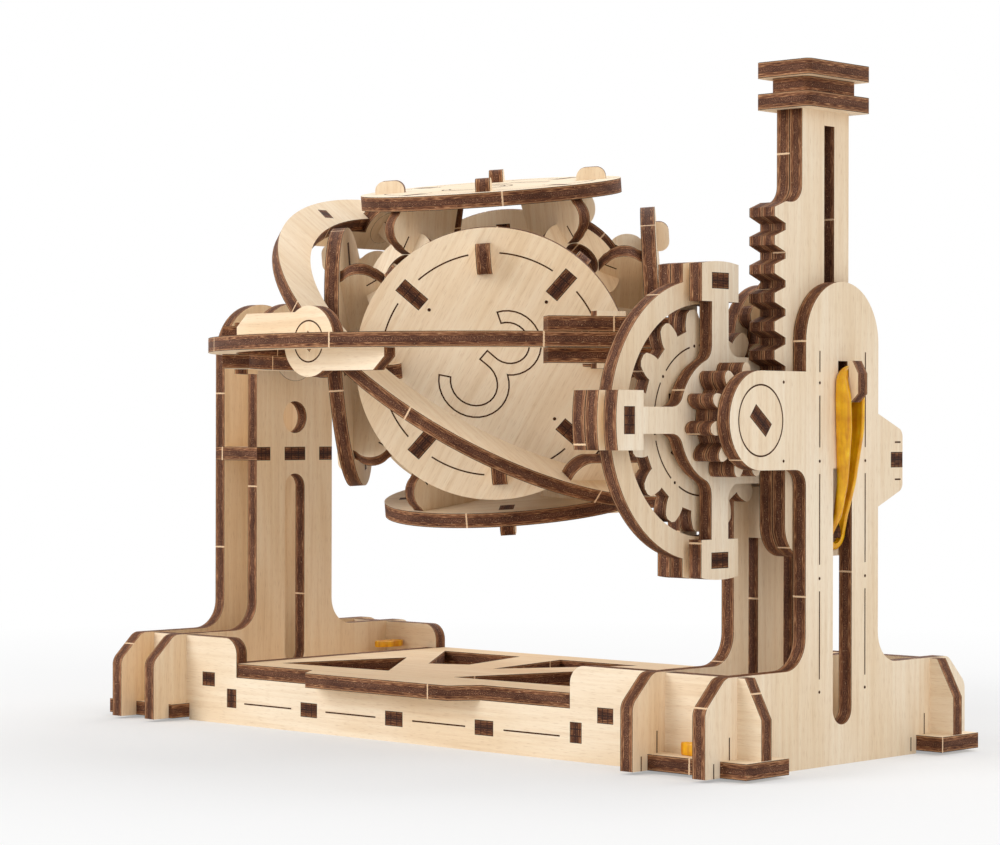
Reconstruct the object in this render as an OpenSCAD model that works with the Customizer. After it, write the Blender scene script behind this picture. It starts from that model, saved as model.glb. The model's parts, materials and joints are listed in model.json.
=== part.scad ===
// Mechanical gimbal ball puzzle: a hand press, a rack and two gear pairs spin
// a six-faced ball that hangs in two rings between two plywood towers.
// +X points to the press handle, -Y is the front, Z is up, millimetres.

/* [Plywood] */

// Thickness of the plywood sheet that every plate is cut from
ply = 3; // [2.9:0.05:3.1]
// Gap round each turning bearing disc
running_gap = 0.08; // [0.05:0.01:0.1]
// Gap between flat faces that slide past each other
side_gap = 0.25; // [0.2:0.05:0.3]

/* [Base] */

// Half the length of the base, out to the ends of the feet
base_half_x = 88.75; // [88:0.25:92]
// Half the width of the tower plates, out to the tips of their ears
base_half_y = 41.2; // [40:0.2:43]
// Height of the tower plates' foot bar
foot_bar_top = 18.5; // [17:0.5:20]
// Height of the long boards where the deck rests
deck_rest = 10; // [9.5:0.25:10.5]
// Distance from the middle to the inner face of a long board
board_inner_y = 29; // [28.5:0.25:29]

/* [Towers] */

// Half the width of a tower's column
column_half = 11.5; // [11:0.25:12]
// Height of the gimbal's axis above the table
axis_z = 80.4; // [80:0.2:82]
// Inner face of the outer tower plates, from the middle
tower_outer_x = 79.75; // [79.75:0.25:80.5]
// Inner face of the right inner plate, from the middle
right_inner_x = 62.75; // [62.5:0.25:62.75]
// Radius of the bearing discs on the flat shafts
bearing_r = 6.5; // [6.3:0.1:6.6]

/* [Gearing] */

// Teeth on the rack pinion
rack_pinion_teeth = 11; // [11:1:12]
// Tooth module of the rack and its pinion
rack_module = 1.7; // [1.65:0.05:1.7]
// Teeth on the big drive gear
drive_teeth = 15; // [15:1:15]
// Teeth on the gimbal pinion
gimbal_teeth = 8; // [8:1:8]
// Travel of the press handle
stroke = 32; // [28:1:32]

/* [Rings and ball] */

// Outside radius of the outer ring
outer_ring_r = 61.5; // [61:0.25:61.75]
// Outside radius of the inner ring
inner_ring_r = 52.3; // [51.5:0.1:52.3]
// Tilt of the inner ring in the photographed pose
inner_tilt = 37.4; // [0:0.1:60]
// Radius of a face disc of the ball
disc_r = 27.2; // [26.6:0.2:27.4]
// Distance from the ball's centre to the outside of a face disc
disc_out = 33.8; // [33.4:0.2:34.2]

/* [Hidden] */

$fn = 72;

// Sheet layers along X at the right tower
inner_plate_x = right_inner_x;
guard_x = inner_plate_x + ply;
gear_x = guard_x + side_gap;
spider_x = tower_outer_x - 2 * ply - 2 * side_gap - ply;
rack_x = spider_x + ply + side_gap;
outer_plate_x = tower_outer_x;
left_outer_x = -tower_outer_x - ply;
left_inner_x = -71.95;

// Tower outline
arch_z = axis_z - 0.6;
ear_side_top = 12.9;
ear_chamfer_y = base_half_y - 5.9;
slot_half = 3;
slot_high = 56;
column_fillet = 6;
wing_z0 = 48.1;
wing_z1 = 66.8;
wing_slant = 3.7;
left_hole_z = 65.7;
left_hole_r = 3.6;
left_slot_z0 = 13;
left_slot_z1 = 50;
left_tenon_half = 3.15;
left_notch_y = 7.5;

// Feet
foot_bottom = 0.6;
foot_top = foot_bottom + ply;
foot_y0 = 24.4;
foot_y1 = 37;
foot_right_x0 = 61.75;
foot_left_x0 = 67.95;

// Long boards
board_end_x = base_half_x - 0.5;
board_outer_y = board_inner_y + ply;
board_top = foot_bar_top - 0.2;
cross_cut_z = 11;
left_step_x = -52.75;
right_step_x = 42.25;
floor_tab_x = [-30.25, -5.25, 19.75];
floor_tab_w = 5;
floor_z = 3.15;
floor_gap = 4;
board_chamfer = 3.8;
step_round = 3.5;
cross_left_x = left_step_x - ply;
cross_right_x = right_step_x;
cross_tab_z = 3.5;
cross_tab_h = 4;
shelf_z = 7.7;
shelf_tab_w = 4;
shelf_left_tab_x = -63.65;
shelf_right_tab_x = 49.15;

// Lobes on the deck's sides and its cut-outs, four corners or three each
lobe_y = board_outer_y - 1;
lobe_out_y = 37.5;
lobe_left = [-29.95, -25.5];
lobe_right = [19.45, 15];
deck_cuts = [
  [[-47.3, -24], [-17.3, -21.5], [-38.3, 5]],
  [[-23.8, -3], [-15.7, 1], [-22, 24], [-45, 24]],
  [[-5, -3], [12, 24], [-10, 24]],
  [[2.8, -23], [33, -21.5], [12, 5]]
];

// Gear housing round the drive gear
house_y = -25.2;
house_z = 65;
hub_r = 11.8;
stem_half = 2.45;
hub_fillet_r = 3;
head_in = 22;
head_out = 29.5;
head_half = 5.4;
guard_in = 21.6;
guard_out = 26.1;
peg_r = 25.9;
peg_w = 5;
outer_arm_r = 9.15;
peg_angles = [90, 180, 270];

// Flat shaft section
shaft_w = 6;
shaft_turn = -38;
pin_w = 3;
bearing_hole_r = bearing_r + running_gap;
small_bearing_r = 4;
small_hole_r = small_bearing_r + running_gap;

// Bridges between plates
bridge_z = 56;
bridge_tab_y0 = 15.7;
wing_y = 19.6;
spider_back_y = 9;
spider_pad_r = 9;
guide_y = 4;
guide_z0 = 42.6;
guide_z1 = 52.4;
guide_slot_z = 12;

// Rack and its pinion
rack_pitch_r = rack_module * rack_pinion_teeth / 2;
rack_pitch = PI * rack_module;
rack_addendum = 1.05;
rack_root_y = house_y + rack_pitch_r + 2.25;
rack_tip_y = house_y + rack_pitch_r - rack_addendum;
rack_pitch_y = house_y + rack_pitch_r;
rack_back_y = 6.2;
rack_column_y = -8.5;
rack_first_z = 103.9;
rack_tooth_count = 9;
rack_bottom = 39.3;
rack_top = 123.8;
rack_slot_half = 1.6;
rack_slot_top = 121;
rack_corner = 6;
rack_fillet = 3.4;
tenon_y0 = -4;
tenon_y1 = 2;
rack_backlash = 0.12;
rack_pitch_half = rack_pitch / 4 - rack_backlash;
rack_root_half = rack_pitch_half + (rack_root_y - rack_pitch_y) * tan(20);
rack_tip_half = rack_pitch_half - rack_addendum * tan(20);
rack_block_top = rack_first_z + rack_root_half;
pinion_tip_r = rack_pitch_r + 1.35;
pinion_root_r = rack_pitch_r - 1.75;
pinion_steps_z = (rack_first_z - house_z) / rack_pitch;
pinion_offset_z = (pinion_steps_z - floor(pinion_steps_z)) * rack_pitch;
pinion_phase = pinion_offset_z / rack_pitch_r * 180 / PI + 180 / rack_pinion_teeth;

// Handle caps
cap_x0 = rack_x - 3.3;
cap_x1 = rack_x + 2 * ply + 3.3;
cap_y0 = -10.9;
cap_y1 = 9;
cap_step = 2;

// Drive gear and gimbal pinion
pair_dy = -house_y;
pair_dz = axis_z - house_z;
pair_distance = sqrt(pair_dy * pair_dy + pair_dz * pair_dz);
pair_angle = atan2(pair_dz, pair_dy);
pair_module = 2 * pair_distance / (drive_teeth + gimbal_teeth);
pair_pressure = 25;
pair_addendum = 1.47;
pair_root_gap = 0.75;
pair_backlash = 0.2;
drive_pitch_r = pair_module * drive_teeth / 2;
gimbal_pitch_r = pair_module * gimbal_teeth / 2;
drive_tip_r = drive_pitch_r + pair_addendum;
gimbal_tip_r = gimbal_pitch_r + pair_addendum;
drive_root_r = pair_distance - gimbal_tip_r - pair_root_gap;
gimbal_root_r = pair_distance - drive_tip_r - pair_root_gap;
drive_phase = 98.8;
drive_lag = (pair_angle - drive_phase) / (360 / drive_teeth);
drive_lag_part = (drive_lag - floor(drive_lag)) * 360 / drive_teeth;
gimbal_phase = pair_angle + 180 + drive_lag_part * drive_teeth / gimbal_teeth + 180 / gimbal_teeth;

// Ratchet inside the drive gear
ratchet_hub_r = 9.4;
ratchet_tip_r = ratchet_hub_r + running_gap;
ratchet_root_r = 11;
ratchet_teeth = 12;

// Rings
gimbal_x = -5.25;
outer_ring_in = outer_ring_r - 5.7;
arc_out = outer_ring_r - 2.1;
arc_in = arc_out - 5.7;
arc_half_angle = 38.7;
clip_angle = 26.5;
clip_r = 57.6;
clip_w = 6;
clip_proud = 1;
cheek_y = inner_ring_r + 0.5;
cheek_boss_r = 7;
cheek_reach = 21;
cheek_arm_h = 4.3;
inner_ring_in = inner_ring_r - 7.3;
arch_plate_x = inner_ring_r - 8.5;
arch_half = 21.2;
arch_top = 5.8;
arch_round = 3.5;
arch_boss_r = 5.5;
arch_tenon_y0 = 16.6;
arch_tenon_y1 = 19.1;

// Ball
disc_in = disc_out - ply;
tab_r0 = 18;
tab_r1 = 24.1;
tab_proud = 2.6;
tab_round = 2;
ball_spin = 170.1;
corner_lean = acos(1 / sqrt(3));
corner_in = 29.3;
corner_out = corner_in + ply;
corner_plate_r = 9;
corner_hole_r = 3.9;
axle_hole_r = 2.2;
fin_start = 4;
fin_lap = 6.5;
fin_inner_r = 10.5;
fin_end_r = 24.3;
fin_end_h = disc_in - 3.8;
fin_round = 3.7;

// Rubber band and its hooks
hook_x = 87.35;
hook_z = 68.5;
hook_neck_top = 73;
hook_top = 76.3;
hook_lip = 0.8;
hook_slant = 2.4;
band_hook_z = 42.8;
band_hook_h = 3.2;
slot_low = band_hook_z - stroke - 3.3;
band_t = 1.2;
band_x0 = outer_plate_x + ply + 0.2;
band_w = 2.1;
band_neck_x = band_x0 + band_w + 0.2;
band_half_y = ply / 2 + 0.3;

plywood = [0.87, 0.74, 0.55];
rubber = [0.93, 0.68, 0.1];

// A sheet standing across X, drawn as (Y, Z)
module yz(x, t = ply) {
  translate([x, 0, 0]) rotate([90, 0, 90]) linear_extrude(t) children();
}

// A sheet standing across Y, drawn as (X, Z)
module xz(y, t = ply) {
  translate([0, y + t, 0]) rotate([90, 0, 0]) linear_extrude(t) children();
}

// A flat sheet, drawn as (X, Y)
module xy(z, t = ply) {
  translate([0, 0, z]) linear_extrude(t) children();
}

// A rectangle given by its low and high corners
module box2(x0, y0, x1, y1) {
  translate([x0, y0]) square([x1 - x0, y1 - y0]);
}

module box3(x0, y0, z0, x1, y1, z1) {
  translate([x0, y0, z0]) cube([x1 - x0, y1 - y0, z1 - z0]);
}

// A rectangle whose two far corners (high y) are rounded
module tab2(x0, y0, x1, y1, r) {
  box2(x0, y0, x1, y1 - r);
  box2(x0 + r, y0, x1 - r, y1);
  translate([x0 + r, y1 - r]) circle(r);
  translate([x1 - r, y1 - r]) circle(r);
}

// Material left in a square inner corner, with its hollow of radius r
module fillet2(r) {
  difference() {
    square(r + 0.01);
    translate([r + 0.01, r + 0.01]) circle(r);
  }
}

// Foot of a straight stem that flares into a round hub, stem along +x. It
// sinks a hair into the hub and the stem, so that the curves cross cleanly
module stem_foot(hub, half, r) {
  sink = 0.03;
  y = half + r + sink;
  d = sqrt((hub + r - sink) * (hub + r - sink) - y * y);
  difference() {
    polygon([[0, 0], [d, -y], [d, y]]);
    translate([d, -y]) circle(r);
    translate([d, y]) circle(r);
  }
}

// Involute angle, degrees, at radius r over base radius b
function involute(b, r) = r <= b ? 0 : tan(acos(b / r)) * 180 / PI - acos(b / r);

// Half the tooth's angle at radius r
function half_tooth(n, p, b, r, slack) =
  90 / n - slack / p * 90 / PI + involute(b, p) - involute(b, r);

// One flank of a tooth, from its root to its tip, on the given side
function flank(n, p, b, root, tip, slack, mid, side) = [
  [root, mid + side * half_tooth(n, p, b, max(root, b), slack)],
  for (k = [0:4]) let (r = max(root, b) + (tip - 0.45 - max(root, b)) * k / 4)
    [r, mid + side * half_tooth(n, p, b, r, slack)],
  [tip, mid + side * half_tooth(n, p, b, tip, slack) * 0.55]
];

function reversed(list) = [for (i = [len(list) - 1:-1:0]) list[i]];

// Outline of a whole spur gear as points
function gear_outline(n, p, pressure, root, tip, slack, phase) = [
  for (i = [0:n - 1])
    let (
      b = p * cos(pressure),
      mid = phase + i * 360 / n,
      low = flank(n, p, b, root, tip, slack, mid, -1),
      high = reversed(flank(n, p, b, root, tip, slack, mid, 1))
    )
    for (q = concat(low, high)) [q[0] * cos(q[1]), q[0] * sin(q[1])]
];

// Flat shaft section, long side turned by the given angle
module flat_bar2(turn) {
  rotate(turn) square([shaft_w, ply], center = true);
}

// Round bearing disc with the flat shaft's hole
module bearing2(turn) {
  difference() {
    circle(bearing_r);
    flat_bar2(turn);
  }
}

module housing_place() {
  translate([house_y, house_z]) children();
}

module gimbal_place() {
  translate([0, axis_z]) children();
}

// The three square heads of the gear housing
module housing_heads() {
  for (a = peg_angles) {
    rotate(a) intersection() {
      box2(head_in, -head_half, head_out, head_half);
      circle(head_out);
    }
  }
}

module housing_peg_holes() {
  for (a = peg_angles) {
    rotate(a) translate([peg_r, 0]) square([ply, peg_w], center = true);
  }
}

// Round hub with three stems that carry the heads
module housing_star() {
  circle(hub_r);
  for (a = peg_angles) {
    rotate(a) box2(0, -stem_half, head_in + 1, stem_half);
    rotate(a) stem_foot(hub_r, stem_half, hub_fillet_r);
  }
  housing_heads();
}

// Foot bar, ears and column that all four tower plates share
module tower2() {
  h = base_half_y;
  polygon([
    [-foot_y1, 0], [foot_y1, 0], [foot_y1, foot_bottom], [h, foot_bottom],
    [h, ear_side_top], [ear_chamfer_y, foot_bar_top], [-ear_chamfer_y, foot_bar_top],
    [-h, ear_side_top], [-h, foot_bottom], [-foot_y1, foot_bottom]
  ]);
  box2(-column_half, 0, column_half, arch_z);
  translate([0, arch_z]) circle(column_half);
  for (side = [0, 1]) mirror([side, 0]) {
    translate([column_half, foot_bar_top]) fillet2(column_fillet);
  }
}

// Openings in a tower plate for the feet and the long boards
module tower_cuts() {
  for (side = [0, 1]) mirror([side, 0]) {
    box2(foot_y0, -1, foot_y1, foot_top);
    box2(board_inner_y, -1, board_outer_y, cross_cut_z);
  }
}

// Wing at the back of the right plates, with the notch for the bridge
module wing2() {
  difference() {
    polygon([
      [column_half - 1, wing_z0], [wing_y, wing_z0 + wing_slant],
      [wing_y, wing_z1 - wing_slant], [column_half - 1, wing_z1]
    ]);
    box2(bridge_tab_y0, bridge_z, wing_y + 1, bridge_z + ply);
  }
}

module board_2d() {
  difference() {
    union() {
      polygon([
        [-board_end_x + board_chamfer, board_top],
        [-board_end_x, cross_cut_z], [-board_end_x, foot_top],
        [-foot_left_x0, foot_top], [-foot_left_x0, 0], [foot_right_x0, 0],
        [foot_right_x0, foot_top], [board_end_x, foot_top], [board_end_x, cross_cut_z],
        [board_end_x - board_chamfer, board_top], [right_step_x + step_round, board_top],
        [right_step_x, board_top - step_round], [right_step_x, deck_rest],
        [left_step_x, deck_rest], [left_step_x, board_top - step_round],
        [left_step_x - step_round, board_top]
      ]);
      for (x = [left_step_x - step_round, right_step_x + step_round]) {
        translate([x, board_top - step_round]) circle(step_round);
      }
    }
    for (x = [left_outer_x, left_inner_x, inner_plate_x, outer_plate_x]) {
      box2(x, cross_cut_z, x + ply, board_top + 1);
    }
    for (x = floor_tab_x) box2(x - floor_tab_w / 2, floor_z, x + floor_tab_w / 2, floor_z + ply);
    for (x = [cross_left_x, cross_right_x]) box2(x, cross_tab_z, x + ply, cross_tab_z + cross_tab_h);
    for (x = [shelf_left_tab_x, shelf_right_tab_x]) {
      box2(x, shelf_z, x + shelf_tab_w, shelf_z + ply);
    }
  }
}

module front_board() {
  color(plywood) xz(-board_outer_y) board_2d();
}

module back_board() {
  color(plywood) xz(board_inner_y) board_2d();
}

module outer_plate_right() {
  color(plywood) yz(outer_plate_x) difference() {
    union() {
      tower2();
      wing2();
      box2(house_y, house_z - outer_arm_r, -column_half + 1, house_z + outer_arm_r);
      housing_place() circle(outer_arm_r);
      translate([-column_half, house_z - outer_arm_r]) rotate(180) fillet2(hub_fillet_r);
    }
    tower_cuts();
    housing_place() circle(bearing_hole_r);
    box2(-slot_half, slot_low + slot_half, slot_half, slot_high);
    translate([0, slot_low + slot_half]) circle(slot_half);
    box2(-ply / 2, slot_high - 1, ply / 2, hook_top);
  }
}

module inner_plate_right() {
  color(plywood) yz(inner_plate_x) difference() {
    union() {
      tower2();
      wing2();
      housing_place() housing_star();
      box2(house_y, house_z - hub_r, -column_half + 1, house_z + hub_r);
      translate([house_y + stem_half, house_z + hub_r]) fillet2(hub_fillet_r);
      translate([house_y + stem_half, house_z - hub_r]) mirror([0, 1]) fillet2(hub_fillet_r);
      translate([-column_half, house_z - hub_r]) rotate(180) fillet2(hub_fillet_r);
    }
    tower_cuts();
    housing_place() circle(bearing_hole_r);
    housing_place() housing_peg_holes();
    gimbal_place() circle(bearing_hole_r);
    for (side = [0, 1]) mirror([side, 0]) {
      box2(guide_y, guide_slot_z, guide_y + ply, guide_z1);
    }
  }
}

// Slot, round hole and bridge notches that both left plates share
module left_plate_2d() {
  difference() {
    tower2();
    tower_cuts();
    translate([0, left_hole_z]) circle(left_hole_r);
    box2(-slot_half, left_slot_z0, slot_half, left_slot_z1);
    for (z = [left_slot_z0, left_slot_z1]) translate([0, z]) circle(slot_half);
    box2(-left_tenon_half, bridge_z, left_tenon_half, bridge_z + ply);
    for (side = [0, 1]) mirror([side, 0]) {
      box2(left_notch_y, bridge_z, column_half + 1, bridge_z + ply);
    }
  }
}

module inner_plate_left() {
  color(plywood) yz(left_inner_x) difference() {
    left_plate_2d();
    gimbal_place() circle(bearing_hole_r);
  }
}

module outer_plate_left() {
  color(plywood) yz(left_outer_x) left_plate_2d();
}

module corner_feet() {
  color(plywood) for (side = [0, 1]) mirror([0, side, 0]) {
    box3(foot_right_x0, foot_y0, foot_bottom, base_half_x, foot_y1, foot_top);
    box3(-base_half_x, foot_y0, foot_bottom, -foot_left_x0, foot_y1, foot_top);
  }
}

module deck() {
  color(plywood) xy(deck_rest) difference() {
    union() {
      box2(left_step_x + side_gap, -board_outer_y + 0.2, right_step_x - side_gap, board_outer_y - 0.2);
      polygon([
        [lobe_left[0], -lobe_y], [lobe_left[1], -lobe_out_y],
        [lobe_right[1], -lobe_out_y], [lobe_right[0], -lobe_y]
      ]);
    }
    for (cut = deck_cuts) polygon(cut);
  }
}

module floor_plate() {
  color(plywood) xy(floor_z) {
    box2(left_step_x + floor_gap, -board_inner_y, right_step_x - floor_gap, board_inner_y);
    for (x = floor_tab_x) {
      box2(x - floor_tab_w / 2, -board_outer_y, x + floor_tab_w / 2, board_outer_y);
    }
  }
}

module cross_plates() {
  color(plywood) for (x = [cross_left_x, cross_right_x]) yz(x) {
    box2(-board_inner_y, 1, board_inner_y, deck_rest + ply);
    box2(-board_outer_y, cross_tab_z, board_outer_y, cross_tab_z + cross_tab_h);
  }
}

module shelf_plates() {
  color(plywood) xy(shelf_z) {
    box2(left_inner_x + ply, -board_inner_y, cross_left_x, board_inner_y);
    box2(shelf_left_tab_x, -board_outer_y, shelf_left_tab_x + shelf_tab_w, board_outer_y);
    box2(cross_right_x + ply, -board_inner_y, inner_plate_x, board_inner_y);
    box2(shelf_right_tab_x, -board_outer_y, shelf_right_tab_x + shelf_tab_w, board_outer_y);
  }
}

module bridge_left() {
  color(plywood) xy(bridge_z) difference() {
    box2(left_outer_x, -column_half, left_inner_x + ply, column_half);
    for (x = [left_outer_x, left_inner_x], side = [0, 1]) mirror([0, side]) {
      box2(x, left_tenon_half, x + ply, left_notch_y);
    }
  }
}

module bridge_right() {
  color(plywood) xy(bridge_z) {
    box2(inner_plate_x + ply, spider_back_y + side_gap, outer_plate_x, wing_y);
    box2(inner_plate_x, bridge_tab_y0, outer_plate_x + ply, wing_y);
  }
}

module rack_guides() {
  color(plywood) for (y = [-guide_y - ply, guide_y]) {
    xz(y) box2(inner_plate_x, guide_z0, spider_x + ply, guide_z1);
  }
}

module guard_ring() {
  color(plywood) yz(guard_x) housing_place() difference() {
    union() {
      difference() {
        circle(guard_out);
        translate([head_half, -head_out]) square([head_out, 2 * head_out]);
      }
      housing_heads();
    }
    circle(guard_in);
    housing_peg_holes();
  }
}

module housing_spider() {
  color(plywood) yz(spider_x) difference() {
    union() {
      housing_place() housing_star();
      box2(house_y, house_z - hub_r, spider_back_y, house_z + hub_r);
      gimbal_place() circle(spider_pad_r);
      translate([house_y + stem_half, house_z + hub_r]) fillet2(hub_fillet_r);
      translate([house_y + stem_half, house_z - hub_r]) mirror([0, 1]) fillet2(hub_fillet_r);
    }
    housing_place() circle(bearing_hole_r);
    housing_place() housing_peg_holes();
    gimbal_place() circle(bearing_hole_r);
    box2(-ply / 2, hook_z, ply / 2, hook_neck_top);
  }
}

module housing_pegs() {
  color(plywood) yz(inner_plate_x, spider_x + ply - inner_plate_x) {
    housing_place() housing_peg_holes();
  }
}

// Plate that holds the top of the rubber band and guides the rack
module band_anchor() {
  nose = 1.6;
  color(plywood) xz(-ply / 2) polygon([
    [spider_x, hook_z], [spider_x, hook_neck_top], [band_neck_x, hook_neck_top],
    [band_neck_x, hook_top], [band_neck_x + hook_lip, hook_top],
    [hook_x, hook_top - hook_slant], [hook_x, hook_z + nose], [hook_x - nose, hook_z]
  ]);
}

// Filled outline of the stretched loop, of the given half width
module band_loop_2d(half) {
  box2(-half, band_hook_z + 1, half, hook_neck_top - 1);
  for (z = [band_hook_z + 1, hook_neck_top - 1]) translate([0, z]) circle(half);
}

module rubber_band() {
  color(rubber) yz(band_x0, band_w) difference() {
    band_loop_2d(band_half_y + band_t);
    band_loop_2d(band_half_y);
  }
}

// Four corners of a straight-sided rack tooth, from its upper root downwards
function rack_tooth(z) = [
  [rack_root_y, z + rack_root_half], [rack_tip_y, z + rack_tip_half],
  [rack_tip_y, z - rack_tip_half], [rack_root_y, z - rack_root_half]
];

// Outline of the rack's toothed block
function rack_block() = concat(
  [[rack_back_y, rack_bottom + rack_corner], [rack_back_y, rack_block_top]],
  [for (k = [0:rack_tooth_count - 1]) for (q = rack_tooth(rack_first_z - k * rack_pitch)) q],
  [[rack_root_y, rack_bottom + rack_corner]]
);

module rack_2d() {
  corner = rack_corner;
  difference() {
    union() {
      polygon(rack_block());
      box2(rack_root_y + corner, rack_bottom, rack_back_y, rack_bottom + corner + 1);
      translate([rack_root_y + corner, rack_bottom + corner]) circle(corner);
      box2(rack_column_y, rack_bottom + corner, rack_back_y, rack_top);
      box2(tenon_y0, rack_top - 1, tenon_y1, rack_top + 3 * ply);
      translate([rack_column_y, rack_block_top]) mirror([1, 0]) fillet2(rack_fillet);
    }
    box2(-rack_slot_half, hook_z - 0.2, rack_slot_half, rack_slot_top);
    box2(-ply / 2, band_hook_z, ply / 2, band_hook_z + band_hook_h);
  }
}

module rack_inner() {
  color(plywood) yz(rack_x) rack_2d();
}

module rack_outer() {
  color(plywood) yz(rack_x + ply) rack_2d();
}

// One layer of the handle's cap, with the hole for the racks' tenons
module cap_2d(inset) {
  difference() {
    box2(cap_x0 + inset, cap_y0 + inset, cap_x1 - inset, cap_y1 - inset);
    box2(rack_x, tenon_y0, rack_x + 2 * ply, tenon_y1);
  }
}

module cap_lower() {
  color(plywood) xy(rack_top) cap_2d(0);
}

module cap_middle() {
  color(plywood) xy(rack_top + ply) cap_2d(cap_step);
}

module cap_upper() {
  color(plywood) xy(rack_top + 2 * ply) cap_2d(0);
}

// Hook on the rack's foot that pulls the rubber band down
module band_hook() {
  top = band_hook_z + band_hook_h;
  low = band_hook_z - hook_slant;
  color(plywood) xz(-ply / 2) {
    box2(rack_x, band_hook_z, band_neck_x + 1, top);
    polygon([
      [band_neck_x, top], [band_neck_x, low], [band_neck_x + hook_lip, low],
      [hook_x, low + 1.8], [hook_x, top - 1], [hook_x - 1, top]
    ]);
  }
}

module rack_pinion_2d() {
  difference() {
    polygon(gear_outline(rack_pinion_teeth, rack_pitch_r, 20, pinion_root_r, pinion_tip_r,
      rack_backlash, pinion_phase));
    flat_bar2(shaft_turn);
  }
}

module pinion_inner() {
  color(plywood) yz(rack_x) housing_place() rack_pinion_2d();
}

module pinion_outer() {
  color(plywood) yz(rack_x + ply) housing_place() rack_pinion_2d();
}

module pinion_shaft() {
  color(plywood) yz(inner_plate_x, outer_plate_x + ply - inner_plate_x) {
    housing_place() flat_bar2(shaft_turn);
  }
}

module shaft_bearings() {
  color(plywood) for (x = [inner_plate_x, spider_x, outer_plate_x]) {
    yz(x) housing_place() bearing2(shaft_turn);
  }
}

// Hub with two spring pawls that drives the gear one way round
module ratchet_hub() {
  color(plywood) yz(gear_x) housing_place() difference() {
    circle(ratchet_hub_r);
    flat_bar2(shaft_turn);
    for (a = [0, 180]) rotate(a + shaft_turn) {
      difference() {
        circle(7.4);
        circle(6.6);
        rotate(40) box2(-10, -10, 10, 0);
        rotate(-10) box2(-10, -10, 0, 10);
      }
      rotate(30) box2(6.6, -0.5, 10, 0.3);
    }
  }
}

// Saw teeth of the ratchet, cut inside the drive gear
function ratchet_points() = [
  for (i = [0:ratchet_teeth - 1]) let (a = i * 360 / ratchet_teeth, s = 360 / ratchet_teeth)
    for (q = [[ratchet_tip_r + 0.02, 0], [ratchet_root_r, 3], [ratchet_tip_r + 0.35, s - 6]])
      [q[0] * cos(a + q[1]), q[0] * sin(a + q[1])]
];

module drive_gear() {
  color(plywood) yz(gear_x) housing_place() difference() {
    polygon(gear_outline(drive_teeth, drive_pitch_r, pair_pressure, drive_root_r, drive_tip_r,
      pair_backlash, drive_phase));
    circle(ratchet_tip_r);
    polygon(ratchet_points());
  }
}

module gimbal_pinion() {
  color(plywood) yz(gear_x) gimbal_place() difference() {
    polygon(gear_outline(gimbal_teeth, gimbal_pitch_r, pair_pressure, gimbal_root_r,
      gimbal_tip_r, pair_backlash, gimbal_phase));
    flat_bar2(0);
  }
}

module ring_centre() {
  translate([gimbal_x, 0, axis_z]) children();
}

module clip_holes_2d() {
  for (side = [0, 180], a = [-clip_angle, clip_angle]) {
    rotate(side + a) translate([clip_r, 0]) square([ply, clip_w], center = true);
  }
}

module outer_ring() {
  left = left_inner_x - gimbal_x;
  right = spider_x + ply - gimbal_x;
  color(plywood) ring_centre() xy(-ply / 2) difference() {
    union() {
      circle(outer_ring_r, $fn = 144);
      box2(left, -shaft_w / 2, right, shaft_w / 2);
    }
    circle(outer_ring_in, $fn = 144);
    clip_holes_2d();
    for (side = [0, 1]) mirror([0, side]) {
      box2(-cheek_boss_r - 0.2, cheek_y - 1, cheek_boss_r + 0.2, cheek_y + ply);
    }
  }
}

// Sector of the stiffening layers, on the +x side
module arc_2d() {
  far = arc_out * 1.5;
  reach = far * tan(arc_half_angle);
  difference() {
    intersection() {
      circle(arc_out, $fn = 144);
      polygon([[0, 0], [far, -reach], [far, reach]]);
    }
    circle(arc_in, $fn = 144);
    clip_holes_2d();
  }
}

module ring_arcs(turn) {
  ring_centre() rotate([0, 0, turn]) {
    xy(ply / 2) arc_2d();
    xy(-ply * 3 / 2) arc_2d();
  }
}

module ring_arcs_right() {
  color(plywood) ring_arcs(0);
}

module ring_arcs_left() {
  color(plywood) ring_arcs(180);
}

module ring_clips() {
  h = 3 * ply + 2 * clip_proud;
  color(plywood) ring_centre() {
    for (side = [0, 180], a = [-clip_angle, clip_angle]) rotate([0, 0, side + a]) {
      translate([clip_r - ply / 2, -clip_w / 2, -h / 2]) cube([ply, clip_w, h]);
    }
  }
}

module gimbal_bearings() {
  color(plywood) for (x = [left_inner_x, inner_plate_x, spider_x]) {
    yz(x) gimbal_place() bearing2(0);
  }
}

module gimbal_spacer() {
  color(plywood) yz(inner_plate_x - side_gap - ply) gimbal_place() difference() {
    circle(bearing_r - 0.5);
    flat_bar2(0);
  }
}

// One cheek: a round boss with an arm over the ring and an arm under it
module cheek_2d() {
  difference() {
    union() {
      circle(cheek_boss_r);
      for (turn = [0, 180]) rotate(turn) polygon([
        [-cheek_reach, ply / 2], [0, ply / 2], [0, ply / 2 + cheek_arm_h],
        [-cheek_reach + 3, ply / 2 + cheek_arm_h], [-cheek_reach, ply / 2 + cheek_arm_h - 2.6]
      ]);
    }
    circle(small_hole_r);
  }
}

module cheek_front() {
  color(plywood) ring_centre() xz(-cheek_y - ply) cheek_2d();
}

module cheek_back() {
  color(plywood) ring_centre() rotate([0, 0, 180]) xz(-cheek_y - ply) cheek_2d();
}

// Everything on the inner ring turns about Y through the ring's centre
module inner_place() {
  ring_centre() rotate([0, inner_tilt, 0]) children();
}

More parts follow.
